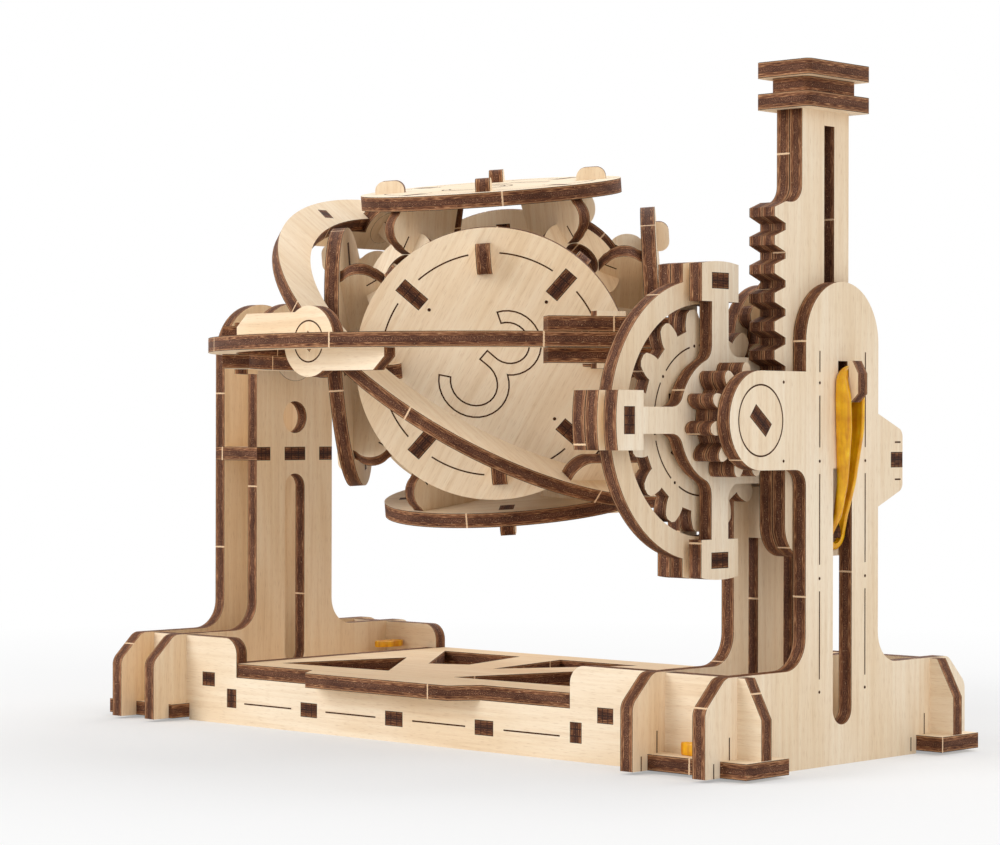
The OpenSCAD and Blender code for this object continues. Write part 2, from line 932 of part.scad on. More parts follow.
module inner_ring() {
  reach = cheek_y + ply;
  color(plywood) inner_place() xy(-ply / 2) difference() {
    union() {
      circle(inner_ring_r, $fn = 144);
      box2(-pin_w / 2, -reach, pin_w / 2, reach);
    }
    circle(inner_ring_in, $fn = 144);
    for (side = [0, 1]) mirror([side, 0]) {
      box2(inner_ring_in - 2, -arch_boss_r, arch_plate_x + ply, arch_boss_r);
      for (y = [-arch_tenon_y1, arch_tenon_y0]) {
        box2(arch_plate_x, y, arch_plate_x + ply, y + arch_tenon_y1 - arch_tenon_y0);
      }
    }
  }
}

// An arch: a bar on the ring's face, two tenons down through the ring and a
// boss round the ball's axle
module arch_plate_2d() {
  difference() {
    union() {
      intersection() {
        box2(-arch_half, ply / 2, arch_half, arch_top);
        tab2(-arch_half, -arch_half, arch_half, arch_top, arch_round);
      }
      for (side = [0, 1]) mirror([side, 0]) {
        box2(arch_tenon_y0, -ply / 2, arch_tenon_y1, ply / 2 + 1);
      }
      circle(arch_boss_r);
    }
    circle(small_hole_r);
  }
}

module inner_arches() {
  color(plywood) inner_place() {
    yz(arch_plate_x) arch_plate_2d();
    yz(-arch_plate_x - ply) mirror([0, 1]) arch_plate_2d();
  }
}

module small_bearing_2d() {
  difference() {
    circle(small_bearing_r);
    square(pin_w, center = true);
  }
}

module pivot_bearings() {
  color(plywood) inner_place() for (y = [cheek_y, -cheek_y - ply]) {
    xz(y) small_bearing_2d();
  }
}

module axle_bearings() {
  color(plywood) inner_place() for (x = [arch_plate_x, -arch_plate_x - ply]) {
    yz(x) small_bearing_2d();
  }
}

module ball_axle() {
  color(plywood) inner_place() {
    yz(-arch_plate_x - ply, 2 * (arch_plate_x + ply)) square(pin_w, center = true);
  }
}

// The ball's own frame: +x right face, +y back face, +z top face
module ball_place() {
  ring_centre() rotate([0, inner_tilt - 90, 0]) rotate([0, 0, ball_spin])
    rotate([0, -corner_lean, 0]) rotate([0, 0, -135]) children();
}

// A face disc, drawn with its outside towards +z
module disc() {
  translate([0, 0, disc_in]) linear_extrude(ply) difference() {
    circle(disc_r);
    for (a = [0, 90, 180, 270]) rotate(a) {
      box2(tab_r0, -ply / 2, tab_r1, ply / 2);
      rotate(45) box2(tab_r0, -ply / 2, tab_r1, ply / 2);
    }
  }
}

module disc_top() {
  color(plywood) ball_place() disc();
}

module disc_bottom() {
  color(plywood) ball_place() rotate([180, 0, 0]) disc();
}

module disc_front() {
  color(plywood) ball_place() rotate([90, 0, 0]) disc();
}

module disc_back() {
  color(plywood) ball_place() rotate([-90, 0, 0]) disc();
}

module disc_right() {
  color(plywood) ball_place() rotate([0, 90, 0]) disc();
}

module disc_left() {
  color(plywood) ball_place() rotate([0, -90, 0]) disc();
}

// The six turns that take the +z disc to each face of the ball
module on_each_face() {
  faces = [[0, 0, 0], [180, 0, 0], [90, 0, 0], [-90, 0, 0], [0, 90, 0], [0, -90, 0]];
  for (face = faces) rotate(face) children();
}

// Sheet standing on the +z disc at the given angle, drawn as (radius, height)
module on_disc(a) {
  rotate([0, 0, a]) rotate([90, 0, 0]) translate([0, 0, -ply / 2]) linear_extrude(ply) children();
}

module edge_pegs() {
  color(plywood) ball_place() on_each_face() for (a = [0, 90, 180, 270]) {
    on_disc(a) tab2(tab_r0, disc_in, tab_r1, disc_out + tab_proud, tab_round);
  }
}

// Turn that takes +z to the chosen corner of the ball
module corner_place(a, low) {
  rotate([0, 0, a]) rotate([0, low ? 180 - corner_lean : corner_lean, 0]) children();
}

// Point of a fin from its distance along the corner line and across it
function along(d, s) = [
  d * sin(corner_lean) - s * cos(corner_lean),
  d * cos(corner_lean) + s * sin(corner_lean)
];

// Fin from a corner plate up into the +z disc. Its tenon ends flush with the
// disc, and a half lap holds the corner plate
module fin_2d() {
  difference() {
    union() {
      polygon([
        [fin_inner_r, disc_in], [fin_inner_r + 2.2, disc_in - 7.1],
        along(corner_in - 2.2, fin_start), along(corner_out + 1.9, fin_start),
        [fin_end_r + 3.2, fin_end_h - 1.7], [fin_end_r + 2.5, fin_end_h + 2.5],
        [fin_end_r + 1.6, disc_in], [tab_r1, disc_in], [tab_r1, disc_out],
        [tab_r0, disc_out], [tab_r0, disc_in]
      ]);
      translate([fin_end_r, fin_end_h]) circle(fin_round);
    }
    polygon([
      along(corner_in, fin_start - 1), along(corner_in, fin_lap),
      along(corner_out, fin_lap), along(corner_out, fin_start - 1)
    ]);
  }
}

module corner_fins() {
  color(plywood) ball_place() on_each_face() for (a = [45, 135, 225, 315]) {
    on_disc(a) fin_2d();
  }
}

// Eight round plates, two of them with the hole for the ball's axle
module corner_plates() {
  color(plywood) ball_place() for (a = [45, 135, 225, 315], low = [false, true]) {
    corner_place(a, low) translate([0, 0, corner_in]) linear_extrude(ply) difference() {
      circle(corner_plate_r);
      circle(a == (low ? 315 : 135) ? axle_hole_r : corner_hole_r);
      for (k = [0, 120, 240]) rotate(k + (low ? 0 : 180)) {
        box2(fin_lap, -ply / 2, corner_plate_r + 1, ply / 2);
      }
    }
  }
}

front_board();
back_board();
outer_plate_right();
inner_plate_right();
inner_plate_left();
outer_plate_left();
corner_feet();
deck();
floor_plate();
cross_plates();
shelf_plates();
bridge_left();
bridge_right();
rack_guides();
guard_ring();
housing_spider();
housing_pegs();
band_anchor();
rubber_band();
rack_inner();
rack_outer();
cap_lower();
cap_middle();
cap_upper();
band_hook();
pinion_inner();
pinion_outer();
pinion_shaft();
shaft_bearings();
ratchet_hub();
drive_gear();
outer_ring();
ring_arcs_left();
ring_arcs_right();
ring_clips();
gimbal_bearings();
gimbal_spacer();
gimbal_pinion();
cheek_front();
cheek_back();
inner_ring();
inner_arches();
pivot_bearings();
disc_front();
disc_back();
disc_top();
disc_bottom();
disc_right();
disc_left();
edge_pegs();
corner_fins();
corner_plates();
ball_axle();
axle_bearings();
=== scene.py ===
# %% [markdown]
# A wooden gimbal puzzle, dressed for its portrait.
# The object is a flat-packed machine: every rigid piece is cut by a laser from
# one sheet of 3 mm birch plywood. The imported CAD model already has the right
# shapes, so this lesson keeps each of them and spends its effort on what the
# laser leaves behind: pale faces with wood grain, burnt brown edges that show
# the layers of the sheet, pale scars where a piece was held in its sheet, and
# fine engraved lines.

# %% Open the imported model
import json
import math
import random

import bmesh
import bpy
import numpy as np
from mathutils import Matrix, Vector


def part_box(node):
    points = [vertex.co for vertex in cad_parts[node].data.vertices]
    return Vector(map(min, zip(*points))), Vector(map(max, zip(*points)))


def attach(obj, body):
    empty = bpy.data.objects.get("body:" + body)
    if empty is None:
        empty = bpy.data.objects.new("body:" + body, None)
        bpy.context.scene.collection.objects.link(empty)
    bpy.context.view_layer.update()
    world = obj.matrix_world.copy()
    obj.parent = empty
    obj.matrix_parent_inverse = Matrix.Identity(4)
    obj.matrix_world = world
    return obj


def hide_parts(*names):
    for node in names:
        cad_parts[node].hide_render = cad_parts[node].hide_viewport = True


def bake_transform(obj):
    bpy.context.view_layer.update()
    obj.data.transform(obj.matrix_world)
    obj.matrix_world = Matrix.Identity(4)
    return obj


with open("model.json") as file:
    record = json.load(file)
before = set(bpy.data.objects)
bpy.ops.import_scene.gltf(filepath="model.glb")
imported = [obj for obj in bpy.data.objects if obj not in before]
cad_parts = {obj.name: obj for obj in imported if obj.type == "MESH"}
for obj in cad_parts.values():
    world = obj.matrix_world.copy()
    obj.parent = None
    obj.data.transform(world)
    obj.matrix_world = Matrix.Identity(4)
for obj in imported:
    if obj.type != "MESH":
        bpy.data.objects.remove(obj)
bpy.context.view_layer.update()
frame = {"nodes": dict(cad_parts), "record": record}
nodes = frame["nodes"]
bodies = frame["record"]["behaviour"]["bodies"]
body_of_node = {node: body for body, members in bodies.items() for node in members}
random.seed(7)
print("nodes in the model:", len(nodes))

# %% [markdown]
# All sizes are in metres. The few that several steps share stand here: the
# thickness of the sheet, the middle of both rings, and the shaft of the drive
# gear. They are read from the model, so they follow it when it is packed again.

# %% Shared sizes
MM = 0.001
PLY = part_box("deck")[1][2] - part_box("deck")[0][2]


def middle(node):
    """Centre of a CAD node's box: half the sum of its two corners."""
    low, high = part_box(node)
    return Vector([(a + b) / 2 for a, b in zip(low, high)])


def put_in_scene(name, data):
    """A new object for a mesh, a lamp or a camera, at the scene's origin."""
    obj = bpy.data.objects.new(name, data)
    bpy.context.scene.collection.objects.link(obj)
    return obj


ring_mid = middle("inner_ring")
shaft_mid = middle("pinion_shaft")
print("sheet %.2f mm, gimbal axis at %.1f mm" % (PLY / MM, ring_mid.z / MM))

# %% [markdown]
# Materials are small networks of nodes. A few helpers keep them readable: one
# fills a node's inputs, one adds a node, and the others make a colour ramp, a
# blend, a step of arithmetic and a stretched noise. Colours are written as
# they look on a screen, and turned into the linear values Blender mixes.

# %% Helpers for nodes
def fill(n, inputs):
    """Gives a node its inputs: a socket is linked, any other value written in."""
    for slot, value in inputs.items():
        if isinstance(value, bpy.types.NodeSocket):
            n.id_data.links.new(value, n.inputs[slot])
        else:
            n.inputs[slot].default_value = value


def node_adder(tree):
    """A function that adds a node to the tree, with its settings and its inputs."""
    def add(kind, inputs=(), **settings):
        n = tree.nodes.new(kind)
        for key, value in settings.items():
            setattr(n, key, value)
        fill(n, dict(inputs))
        return n
    return add


def new_material(name):
    """A material, its Principled shader, and a function that adds nodes to it."""
    mat = bpy.data.materials.new(name)
    mat.use_nodes = True
    return mat, mat.node_tree.nodes["Principled BSDF"], node_adder(mat.node_tree)


# %% Helpers for colours and patterns
WHITE = (255, 255, 255)


def linear(red, green, blue):
    """Screen colour 0 to 255 to linear: the usual power curve of a screen."""
    def one(v):
        v /= 255
        return v / 12.92 if v <= 0.04045 else ((v + 0.055) / 1.055) ** 2.4
    return (one(red), one(green), one(blue), 1)


def ramp(add, factor, stops):
    """A colour ramp through stops, each a place from 0 to 1 and a screen colour."""
    n = add("ShaderNodeValToRGB", {0: factor})
    while len(n.color_ramp.elements) < len(stops):
        n.color_ramp.elements.new(0.5)
    for element, (place, colour) in zip(n.color_ramp.elements, stops):
        element.position = place
        element.color = linear(*colour)
    return n.outputs["Color"]


def blend_colours(add, factor, a, b, mode="MIX"):
    """Mixes two linear colours or colour sockets by a factor."""
    n = add("ShaderNodeMix", {0: factor, 6: a, 7: b}, data_type="RGBA", blend_type=mode)
    return n.outputs[2]


def sums(add, operation, a, b=0.0, c=0.0):
    """One step of arithmetic on values or value sockets."""
    return add("ShaderNodeMath", {0: a, 1: b, 2: c}, operation=operation).outputs[0]


def paint(add, mask, strength, colour, wood):
    """Lays a screen colour over the wood where the mask is one, at a strength."""
    return blend_colours(add, sums(add, "MULTIPLY", mask, strength), wood, linear(*colour))


def stretched_noise(add, at, scale, detail, distortion=0.0):
    """Noise whose spots are one over the scale long, in metres, along each axis."""
    spot = add("ShaderNodeMapping", {0: at, 3: scale}).outputs[0]
    return add("ShaderNodeTexNoise", {"Vector": spot, "Scale": 1.0, "Detail": detail,
                                      "Distortion": distortion}).outputs[0]


print("a screen's middle grey is %.3f in linear light" % linear(128, 128, 128)[0])

# %% [markdown]
# The face of the sheet is rotary-cut birch: very pale, with long soft figures
# that run one way, and fibres finer than a hair. A picture of wood would
# repeat and blur, so noises stretched along the grain draw it instead. They
# read a UV map called plate, in which one unit is one metre and V runs with
# the grain. Each piece was cut from another part of the sheet, so each gets
# its own shift in that map and its own slight tint.

# %% Birch face
def make_birch():
    """Pale wood: three noises stretched along the grain, from broad cloud to fibre."""
    mat, shader, add = new_material("birch_face")
    uv = add("ShaderNodeUVMap", uv_map="plate").outputs[0]
    tint = add("ShaderNodeAttribute", attribute_name="tint").outputs["Fac"]
    figure = stretched_noise(add, uv, (900, 34, 1), 4.0, 0.5)
    fibre = stretched_noise(add, uv, (5200, 420, 1), 2.0)
    cloud = stretched_noise(add, uv, (70, 24, 1), 2.0)
    wood = ramp(add, figure, [(0.30, (238, 217, 188)), (0.50, (246, 228, 202)),
                              (0.66, (249, 234, 210)), (0.82, (240, 220, 191))])
    pores = ramp(add, fibre, [(0.30, (196, 168, 136)), (0.44, WHITE)])
    shade = ramp(add, cloud, [(0.32, (244, 236, 224)), (0.60, WHITE)])
    warm = ramp(add, tint, [(0.0, WHITE), (1.0, (248, 238, 224))])
    for factor, layer in ((0.26, pores), (0.8, shade), (1.0, warm)):
        wood = blend_colours(add, factor, wood, layer, "MULTIPLY")
    bump = add("ShaderNodeBump", {"Strength": 0.12, "Distance": 0.06 * MM, "Height": fibre})
    fill(shader, {"Base Color": wood, "Roughness": 0.62, "Specular IOR Level": 0.25,
                  "Normal": bump.outputs[0]})
    return mat


birch_face = make_birch()
print("made", birch_face.name)

# %% [markdown]
# A laser chars what it cuts. Seen from the side, the sheet is a sandwich of
# layers: the outer two show their fibres lying along the edge as warm brown
# streaks, the middle one shows them end-on as fine specks, and the glue
# between them burns to a thin dark seam. The plate map's U runs along the
# edge here, and its V is the height in the sheet, so the layers follow every
# curve of the outline without being modelled.

# %% Burnt layers
GLUE_LINE = 0.07 * MM
# The first is how far the painted highlight reaches in from each face, the second the width of the
# black line at the rim.
PAINTED_HIGHLIGHT_RIM, BLACK_RIM = 0.34 * MM, 0.12 * MM


def burnt_layers(add, height, streak, grit, drift, flake):
    """The sheet's side by its distance from the sheet's middle: specks up to a
    sixth of the sheet, streaks beyond, a dark seam where they meet, a painted
    highlight next to each face, where its edge catches the light, a black line
    at the rim, and chips of clean wood over all of it."""
    outer = ramp(add, streak, [(0.34, (74, 40, 25)), (0.46, (114, 70, 45)),
                               (0.58, (150, 102, 70)), (0.70, (208, 160, 114))])
    inner = ramp(add, grit, [(0.32, (62, 35, 24)), (0.48, (98, 61, 43)),
                             (0.62, (126, 85, 61)), (0.74, (188, 140, 102))])
    wood = blend_colours(add, sums(add, "LESS_THAN", height, PLY / 6), outer, inner)
    heat = ramp(add, drift, [(0.36, (180, 164, 152)), (0.60, WHITE)])
    wood = blend_colours(add, 0.85, wood, heat, "MULTIPLY")
    from_seam = sums(add, "ABSOLUTE", sums(add, "SUBTRACT", height, PLY / 6))
    in_seam = sums(add, "LESS_THAN", from_seam, GLUE_LINE)
    wood = paint(add, in_seam, sums(add, "MULTIPLY", drift, 1.1), (48, 26, 18), wood)
    # The pale line next to each face is a painted highlight: the light caught by the face's edge,
    # laid on as a colour.
    painted_highlight = sums(add, "GREATER_THAN", height, PLY / 2 - PAINTED_HIGHLIGHT_RIM)
    wood = paint(add, painted_highlight, 0.38, (204, 156, 112), wood)
    at_rim = sums(add, "GREATER_THAN", height, PLY / 2 - BLACK_RIM)
    wood = paint(add, at_rim, 0.88, (26, 14, 9), wood)
    return paint(add, sums(add, "GREATER_THAN", flake, 0.69), 0.55, (222, 182, 142), wood)


# %% [markdown]
# A second map, called scar, counts along the edge from one holding bridge to
# the next, so that each whole number is a pale scar. Tenon ends get a darker
# burn of their own. They sit in a slot of the next plate, so a black line runs
# round them, and two fine cross lines and one long one divide them where the
# beam stepped over the fibres.

# %% Burnt edge and tenon end
SCAR_HALF, SCAR_ROUGH = 0.17 * MM, 0.3 * MM
TENON_LINE, TENON_RIM = 0.11 * MM, 0.16 * MM


def make_edge(name, tenon):
    """Burnt side of the sheet. The scar map's U counts from mark to mark and its
    V is one mark's step in metres; on a tenon's end, U runs from 0 to 1 across
    it, with a line at every third, and one more line at the sheet's middle."""
    mat, shader, add = new_material(name)
    uv = add("ShaderNodeUVMap", uv_map="plate").outputs[0]
    height = sums(add, "ABSOLUTE", add("ShaderNodeSeparateXYZ", {0: uv}).outputs[1])
    streak = stretched_noise(add, uv, (520, 6400, 1), 3.0)
    grit = stretched_noise(add, uv, (4200, 5200, 1), 3.0)
    drift = stretched_noise(add, uv, (110, 420, 1), 2.0)
    flake = stretched_noise(add, uv, (1500, 5200, 1), 2.0)
    wood = burnt_layers(add, height, streak, grit, drift, flake)
    marks_in_step = 3 if tenon else 1
    scar = add("ShaderNodeSeparateXYZ", {0: add("ShaderNodeUVMap", uv_map="scar").outputs[0]})
    count = sums(add, "MULTIPLY", scar.outputs[0], marks_in_step)
    length = sums(add, "MULTIPLY", scar.outputs[1], 1 / marks_in_step)
    from_mark = sums(add, "SUBTRACT", sums(add, "FRACT", sums(add, "ADD", count, 0.5)), 0.5)
    away = sums(add, "MULTIPLY", sums(add, "ABSOLUTE", from_mark), length)
    if tenon:
        line = sums(add, "LESS_THAN", sums(add, "MINIMUM", away, height), TENON_LINE)
        rim = sums(add, "GREATER_THAN", height, PLY / 2 - TENON_RIM)
        wood = blend_colours(add, 1.0, wood, linear(206, 194, 186), "MULTIPLY")
        wood = paint(add, sums(add, "MAXIMUM", line, rim), 0.8, (36, 20, 14), wood)
    else:
        ragged = sums(add, "MULTIPLY", sums(add, "SUBTRACT", grit, 0.5), SCAR_ROUGH)
        in_scar = sums(add, "LESS_THAN", sums(add, "ADD", away, ragged), SCAR_HALF)
        wood = blend_colours(add, in_scar, wood, linear(232, 198, 160))
    bump = add("ShaderNodeBump", {"Strength": 0.35, "Distance": 0.12 * MM, "Height": grit})
    fill(shader, {"Base Color": wood, "Roughness": 0.7, "Specular IOR Level": 0.2,
                  "Normal": bump.outputs[0]})
    return mat


burnt_edge = make_edge("burnt_edge", False)
tenon_end = make_edge("tenon_end", True)
print("made", burnt_edge.name, "and", tenon_end.name)

# %% [markdown]
# Engraved lines are the same burn, with hardly any shine. The rubber bands are
# amber and slightly see-through, which subsurface scattering gives. Fine ridges
# run up the stretched one, so their noise is long in Z.

# %% Engraving and rubber
def make_engraving():
    """Charred wood: a fine noise between two dark browns."""
    mat, shader, add = new_material("engraving")
    at = add("ShaderNodeTexCoord").outputs["Object"]
    noise = add("ShaderNodeTexNoise", {"Vector": at, "Scale": 1500.0, "Detail": 2.0}).outputs[0]
    char = ramp(add, noise, [(0.3, (48, 28, 18)), (0.7, (92, 58, 36))])
    fill(shader, {"Base Color": char, "Roughness": 0.85, "Specular IOR Level": 0.1})
    return mat


def make_rubber():
    """Amber: a cloudy noise for the colour, times ridges that are long in Z."""
    mat, shader, add = new_material("amber_rubber")
    at = add("ShaderNodeTexCoord").outputs["Object"]
    noise = add("ShaderNodeTexNoise", {"Vector": at, "Scale": 420.0, "Detail": 3.0}).outputs[0]
    ridge = stretched_noise(add, at, (900, 900, 60), 2.0)
    amber = ramp(add, noise, [(0.3, (224, 158, 6)), (0.6, (246, 190, 16)),
                              (0.8, (252, 212, 60))])
    deep = ramp(add, ridge, [(0.36, (222, 190, 150)), (0.56, WHITE)])
    fill(shader, {"Base Color": blend_colours(add, 0.8, amber, deep, "MULTIPLY"),
                  "Roughness": 0.36, "Specular IOR Level": 0.45, "Subsurface Weight": 0.35,
                  "Subsurface Radius": (4 * MM, 2 * MM, 0.5 * MM)})
    return mat


engraving = make_engraving()
amber_rubber = make_rubber()
print("made", engraving.name, "and", amber_rubber.name)

# %% [markdown]
# Dressing a plywood node starts from a copy of its mesh, merged and with its
# flat triangles joined. Each loose part of it is one plate, peg or disc. The
# plate's own normal is the direction in which it is one sheet thick and shows
# the most surface. Faces that look along it are birch, the rest are burnt.

# %% Loose parts, and the normal of each
ALONG = 0.99
NEARLY_NOUGHT = 1e-3
THICKNESS_SLACK = 0.05 * MM
OTHER_THICKNESS = 1e-3  # what an area counts where the part isn't one sheet thick


def loose_parts(bm):
    """Lists of faces that hang together, found by stepping over shared edges."""
    seen, parts = set(), []
    for start in bm.faces:
        if start in seen:
            continue
        part, stack = [], [start]
        seen.add(start)
        while stack:
            f = stack.pop()
            part.append(f)
            for e in f.edges:
                for g in e.link_faces:
                    if g not in seen:
                        seen.add(g)
                        stack.append(g)
        parts.append(part)
    return parts


def plate_normal(faces, points):
    """The direction of the most area among those where the part is one sheet thick."""
    areas = {}
    for f in faces:
        leading = next(v for v in f.normal if abs(v) > NEARLY_NOUGHT)
        sign = -1 if leading < 0 else 1
        key = tuple(round(sign * v, 2) + 0.0 for v in f.normal)
        total = areas.get(key, (0, None))[0]
        areas[key] = (total + f.calc_area(), Vector(f.normal) * sign)
    best, score = Vector((0, 0, 1)), -1
    for total, n in areas.values():
        reach = points @ np.array(n)
        thick = reach.max() - reach.min()
        value = total if abs(thick - PLY) < THICKNESS_SLACK else total * OTHER_THICKNESS
        if value > score:
            best, score = n, value
    return best.normalized()


def runs_along(e, direction):
    """True for an edge that lies along a direction, either way round."""
    return abs((e.verts[1].co - e.verts[0].co).normalized().dot(direction)) > ALONG


# %% [markdown]
# The edge maps need to know how far along its outline a point is. A walk does
# that: from one side face to the next across the edges that stand along the
# normal, adding up widths until the walk meets its start.

# %% Walk round a plate's edge
def standing_edges(f, normal):
    """The edges of a side face that stand along the plate's normal."""
    return [e for e in f.edges if runs_along(e, normal)]


def edge_walks(side_faces, normal):
    """Closed walks over side faces: lists of (face, edge in, start, end)."""
    left = set(side_faces)
    walks = []
    for first in side_faces:
        if first not in left:
            continue
        stands = standing_edges(first, normal)
        left.discard(first)
        if len(stands) != 2:
            continue
        walk, f, e, along = [], first, stands[0], 0.0
        while f is not None:
            pair = standing_edges(f, normal)
            if len(pair) != 2:
                break
            out = pair[1] if pair[0] is e else pair[0]
            offset = out.verts[0].co - e.verts[0].co
            width = (offset - normal * offset.dot(normal)).length
            walk.append((f, e, along, along + width))
            along += width
            left.discard(f)
            onward = [g for g in out.link_faces if g is not f and g in left]
            f, e = (onward[0], out) if onward else (None, out)
        walks.append(walk)
    return walks


# %% [markdown]
# The end of a tenon shows in the next plate's slot, and looks different from
# the open edges. It could be listed face by face, but its shape gives it away:
# a narrow side face whose neighbours both turn back from it. Only the nodes
# that do have tenons or pegs are asked.

# %% Tell a tenon's end
TENON_NODES = {"floor_plate", "cross_plates", "shelf_plates", "bridge_right", "bridge_left",
               "housing_pegs", "rack_guides", "corner_fins", "inner_arches", "ring_clips",
               "pinion_shaft", "rack_inner", "rack_outer", "band_hook", "edge_pegs"}
TENON_NARROWEST, TENON_WIDEST = 2.2 * MM, 7.2 * MM
TURNS_BACK, SQUARE_TO = 0.4 * MM, 0.1


def is_tenon_end(f, normal, width):
    """True for a narrow side face whose two standing edges are both convex: the
    next face stands square to it, and its middle lies behind this face."""
    if not TENON_NARROWEST < width < TENON_WIDEST:
        return False
    spot = f.calc_center_median()
    others = [g for e in standing_edges(f, normal) for g in e.link_faces if g is not f]
    return len(others) == 2 and all(
        f.normal.dot(g.calc_center_median() - spot) < -TURNS_BACK
        and abs(g.normal.dot(f.normal)) < SQUARE_TO for g in others)


print("nodes with tenons:", len(TENON_NODES))

# %% [markdown]
# Two small changes of shape come before the maps. The hook that the rubber
# band pulls on doesn't stand out of the tower's slot, so its copy is cut off
# just inside the plate's face. The handle's caps and the bends of the tower
# plates have soft corners, and a bevel on the edges that stand across the
# sheet gives them.

# %% Cut a piece short
HOOK_INSIDE = 1.5 * MM
CUT_OFF_BEYOND_X = {"band_hook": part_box("outer_plate_right")[1][0] - HOOK_INSIDE}


def cut_short(bm, x):
    """Takes away what lies beyond the plane at x and closes the cut."""
    cut = bmesh.ops.bisect_plane(bm, geom=bm.verts[:] + bm.edges[:] + bm.faces[:],
                                 plane_co=(x, 0, 0), plane_no=(1, 0, 0), clear_outer=True)
    rim = [g for g in cut["geom_cut"] if isinstance(g, bmesh.types.BMEdge)]
    bmesh.ops.contextual_create(bm, geom=rim)


# %% Round a piece's corners
ROUND_STEPS = 6
LEAST_FACE = 1.2  # least width of a face beside a corner, in reaches
# Direction of the corner's edge, least and most turn in degrees, and reach.
CAP_CORNERS = (Vector((0, 0, 1)), 80, 100, 1.2 * MM)
EAR_CORNERS = (Vector((1, 0, 0)), 25, 75, 1.1 * MM)
ROUNDED = {"cap_lower": CAP_CORNERS, "cap_middle": CAP_CORNERS, "cap_upper": CAP_CORNERS,
           "outer_plate_right": EAR_CORNERS, "inner_plate_right": EAR_CORNERS,
           "inner_plate_left": EAR_CORNERS, "outer_plate_left": EAR_CORNERS}


def round_corners(bm, normal, least, most, reach):
    """Rounds the convex standing corners that turn between two angles in degrees.
    The round starts at the distance reach from the corner, where both faces
    beside it are wide enough."""
    corners = []
    for e in bm.edges:
        if len(e.link_faces) != 2 or not e.is_convex or not runs_along(e, normal):
            continue
        turn = math.degrees(e.calc_face_angle())
        widths = [f.calc_area() / e.calc_length() for f in e.link_faces]
        if least < turn < most and min(widths) > LEAST_FACE * reach:
            corners.append(e)
    bmesh.ops.bevel(bm, geom=corners, offset=reach, offset_type="OFFSET",
                    segments=ROUND_STEPS, profile=0.5, affect="EDGES")
    return len(corners)


print("pieces with rounded corners:", len(ROUNDED))

# %% [markdown]
# One loose part gets its maps. On its faces the plate map lies flat on the
# part and turns with the grain. On its sides the walk gives the length along
# the edge, and the scars are shared out evenly over the whole walk, as a maker
# leaves a holding bridge every few centimetres.

# %% Map one part
BIRCH, EDGE, TENON = 0, 1, 2
FACE_ON = 0.9
GRAIN_INTO_PLATE = 0.2  # below this, the grain would run through the sheet
NO_SCAR = (0.5, 0.01)  # half-way between two scars that are 10 mm apart
SCAR_EVERY, SHORTEST_WALK = 42 * MM, 18 * MM


def map_part(part, node, grain, plate, scar, tint):
    """Writes the plate map, the scar map, the tint and the finish of each face;
    mid is the height of the sheet's middle along the part's normal."""
    points = np.array([v.co[:] for f in part for v in f.verts])
    normal = plate_normal(part, points)
    with_grain = Vector(grain) - normal * Vector(grain).dot(normal)
    if with_grain.length < GRAIN_INTO_PLATE:
        with_grain = normal.orthogonal()
    with_grain.normalize()
    across = normal.cross(with_grain)
    shift = (random.uniform(0, 3), random.uniform(0, 3))
    heights = points @ np.array(normal)
    mid = float((heights.max() + heights.min()) / 2)
    own_tint = random.random() ** 2
    sides = []
    for f in part:
        on_face = abs(f.normal.dot(normal)) > FACE_ON
        f[tint], f.smooth = own_tint, True
        f.material_index = BIRCH if on_face else EDGE
        if not on_face:
            sides.append(f)
        for corner in f.loops:
            p = corner.vert.co
            corner[scar].uv = NO_SCAR
            if on_face:
                corner[plate].uv = (p.dot(across) + shift[0], p.dot(with_grain) + shift[1])
            else:
                corner[plate].uv = (p.dot(across) + p.dot(with_grain), p.dot(normal) - mid)
    for walk in edge_walks(sides, normal):
        length = walk[-1][-1]
        scars = round(length / SCAR_EVERY) if length > SHORTEST_WALK else 0
        phase = random.random()
        for f, edge_in, start, end in walk:
            tenon = node in TENON_NODES and is_tenon_end(f, normal, end - start)
            if tenon:
                f.material_index = TENON
            for corner in f.loops:
                along = start if corner.vert in edge_in.verts else end
                corner[plate].uv = (along + shift[0], corner.vert.co.dot(normal) - mid)
                if tenon:
                    corner[scar].uv = ((along - start) / (end - start), end - start)
                elif scars:
                    corner[scar].uv = (along / length * scars + phase, length / scars)


# %% [markdown]
# The copy is merged first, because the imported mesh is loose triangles. Then it
# is cut or rounded where it has to be, mapped part by part, and takes the
# place of its node: it rides on the same body and stands in for the same solid.

# %% Dress one node
SAME_POINT = 1e-6
FLAT_BELOW, SHARP_ABOVE = math.radians(0.6), math.radians(28)


def dress(node, grain):
    """Replaces a plywood node by its own shape with grain, burnt edges and scars."""
    bm = bmesh.new()
    bm.from_mesh(nodes[node].data)
    bmesh.ops.remove_doubles(bm, verts=bm.verts, dist=SAME_POINT)
    if node in CUT_OFF_BEYOND_X:
        cut_short(bm, CUT_OFF_BEYOND_X[node])
    bmesh.ops.dissolve_limit(bm, angle_limit=FLAT_BELOW, verts=bm.verts, edges=bm.edges)
    if node in ROUNDED:
        print(node, "has", round_corners(bm, *ROUNDED[node]), "rounded corners")
    bm.normal_update()
    plate = bm.loops.layers.uv.new("plate")
    scar = bm.loops.layers.uv.new("scar")
    tint = bm.faces.layers.float.new("tint")
    for part in loose_parts(bm):
        map_part(part, node, grain, plate, scar, tint)
    mesh = bpy.data.meshes.new(node + "_ply")
    bm.to_mesh(mesh)
    bm.free()
    for finish in (birch_face, burnt_edge, tenon_end):
        mesh.materials.append(finish)
    mesh.set_sharp_from_angle(angle=SHARP_ABOVE)
    obj = put_in_scene(node + "_ply", mesh)
    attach(obj, body_of_node[node])
    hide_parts(node)


# %% [markdown]
# The grain runs along the longest side of a piece, as a maker lays it out for
# strength: up the towers, along the boards and the deck. Rings and discs take
# it across, which is why two neighbouring discs never look the same.

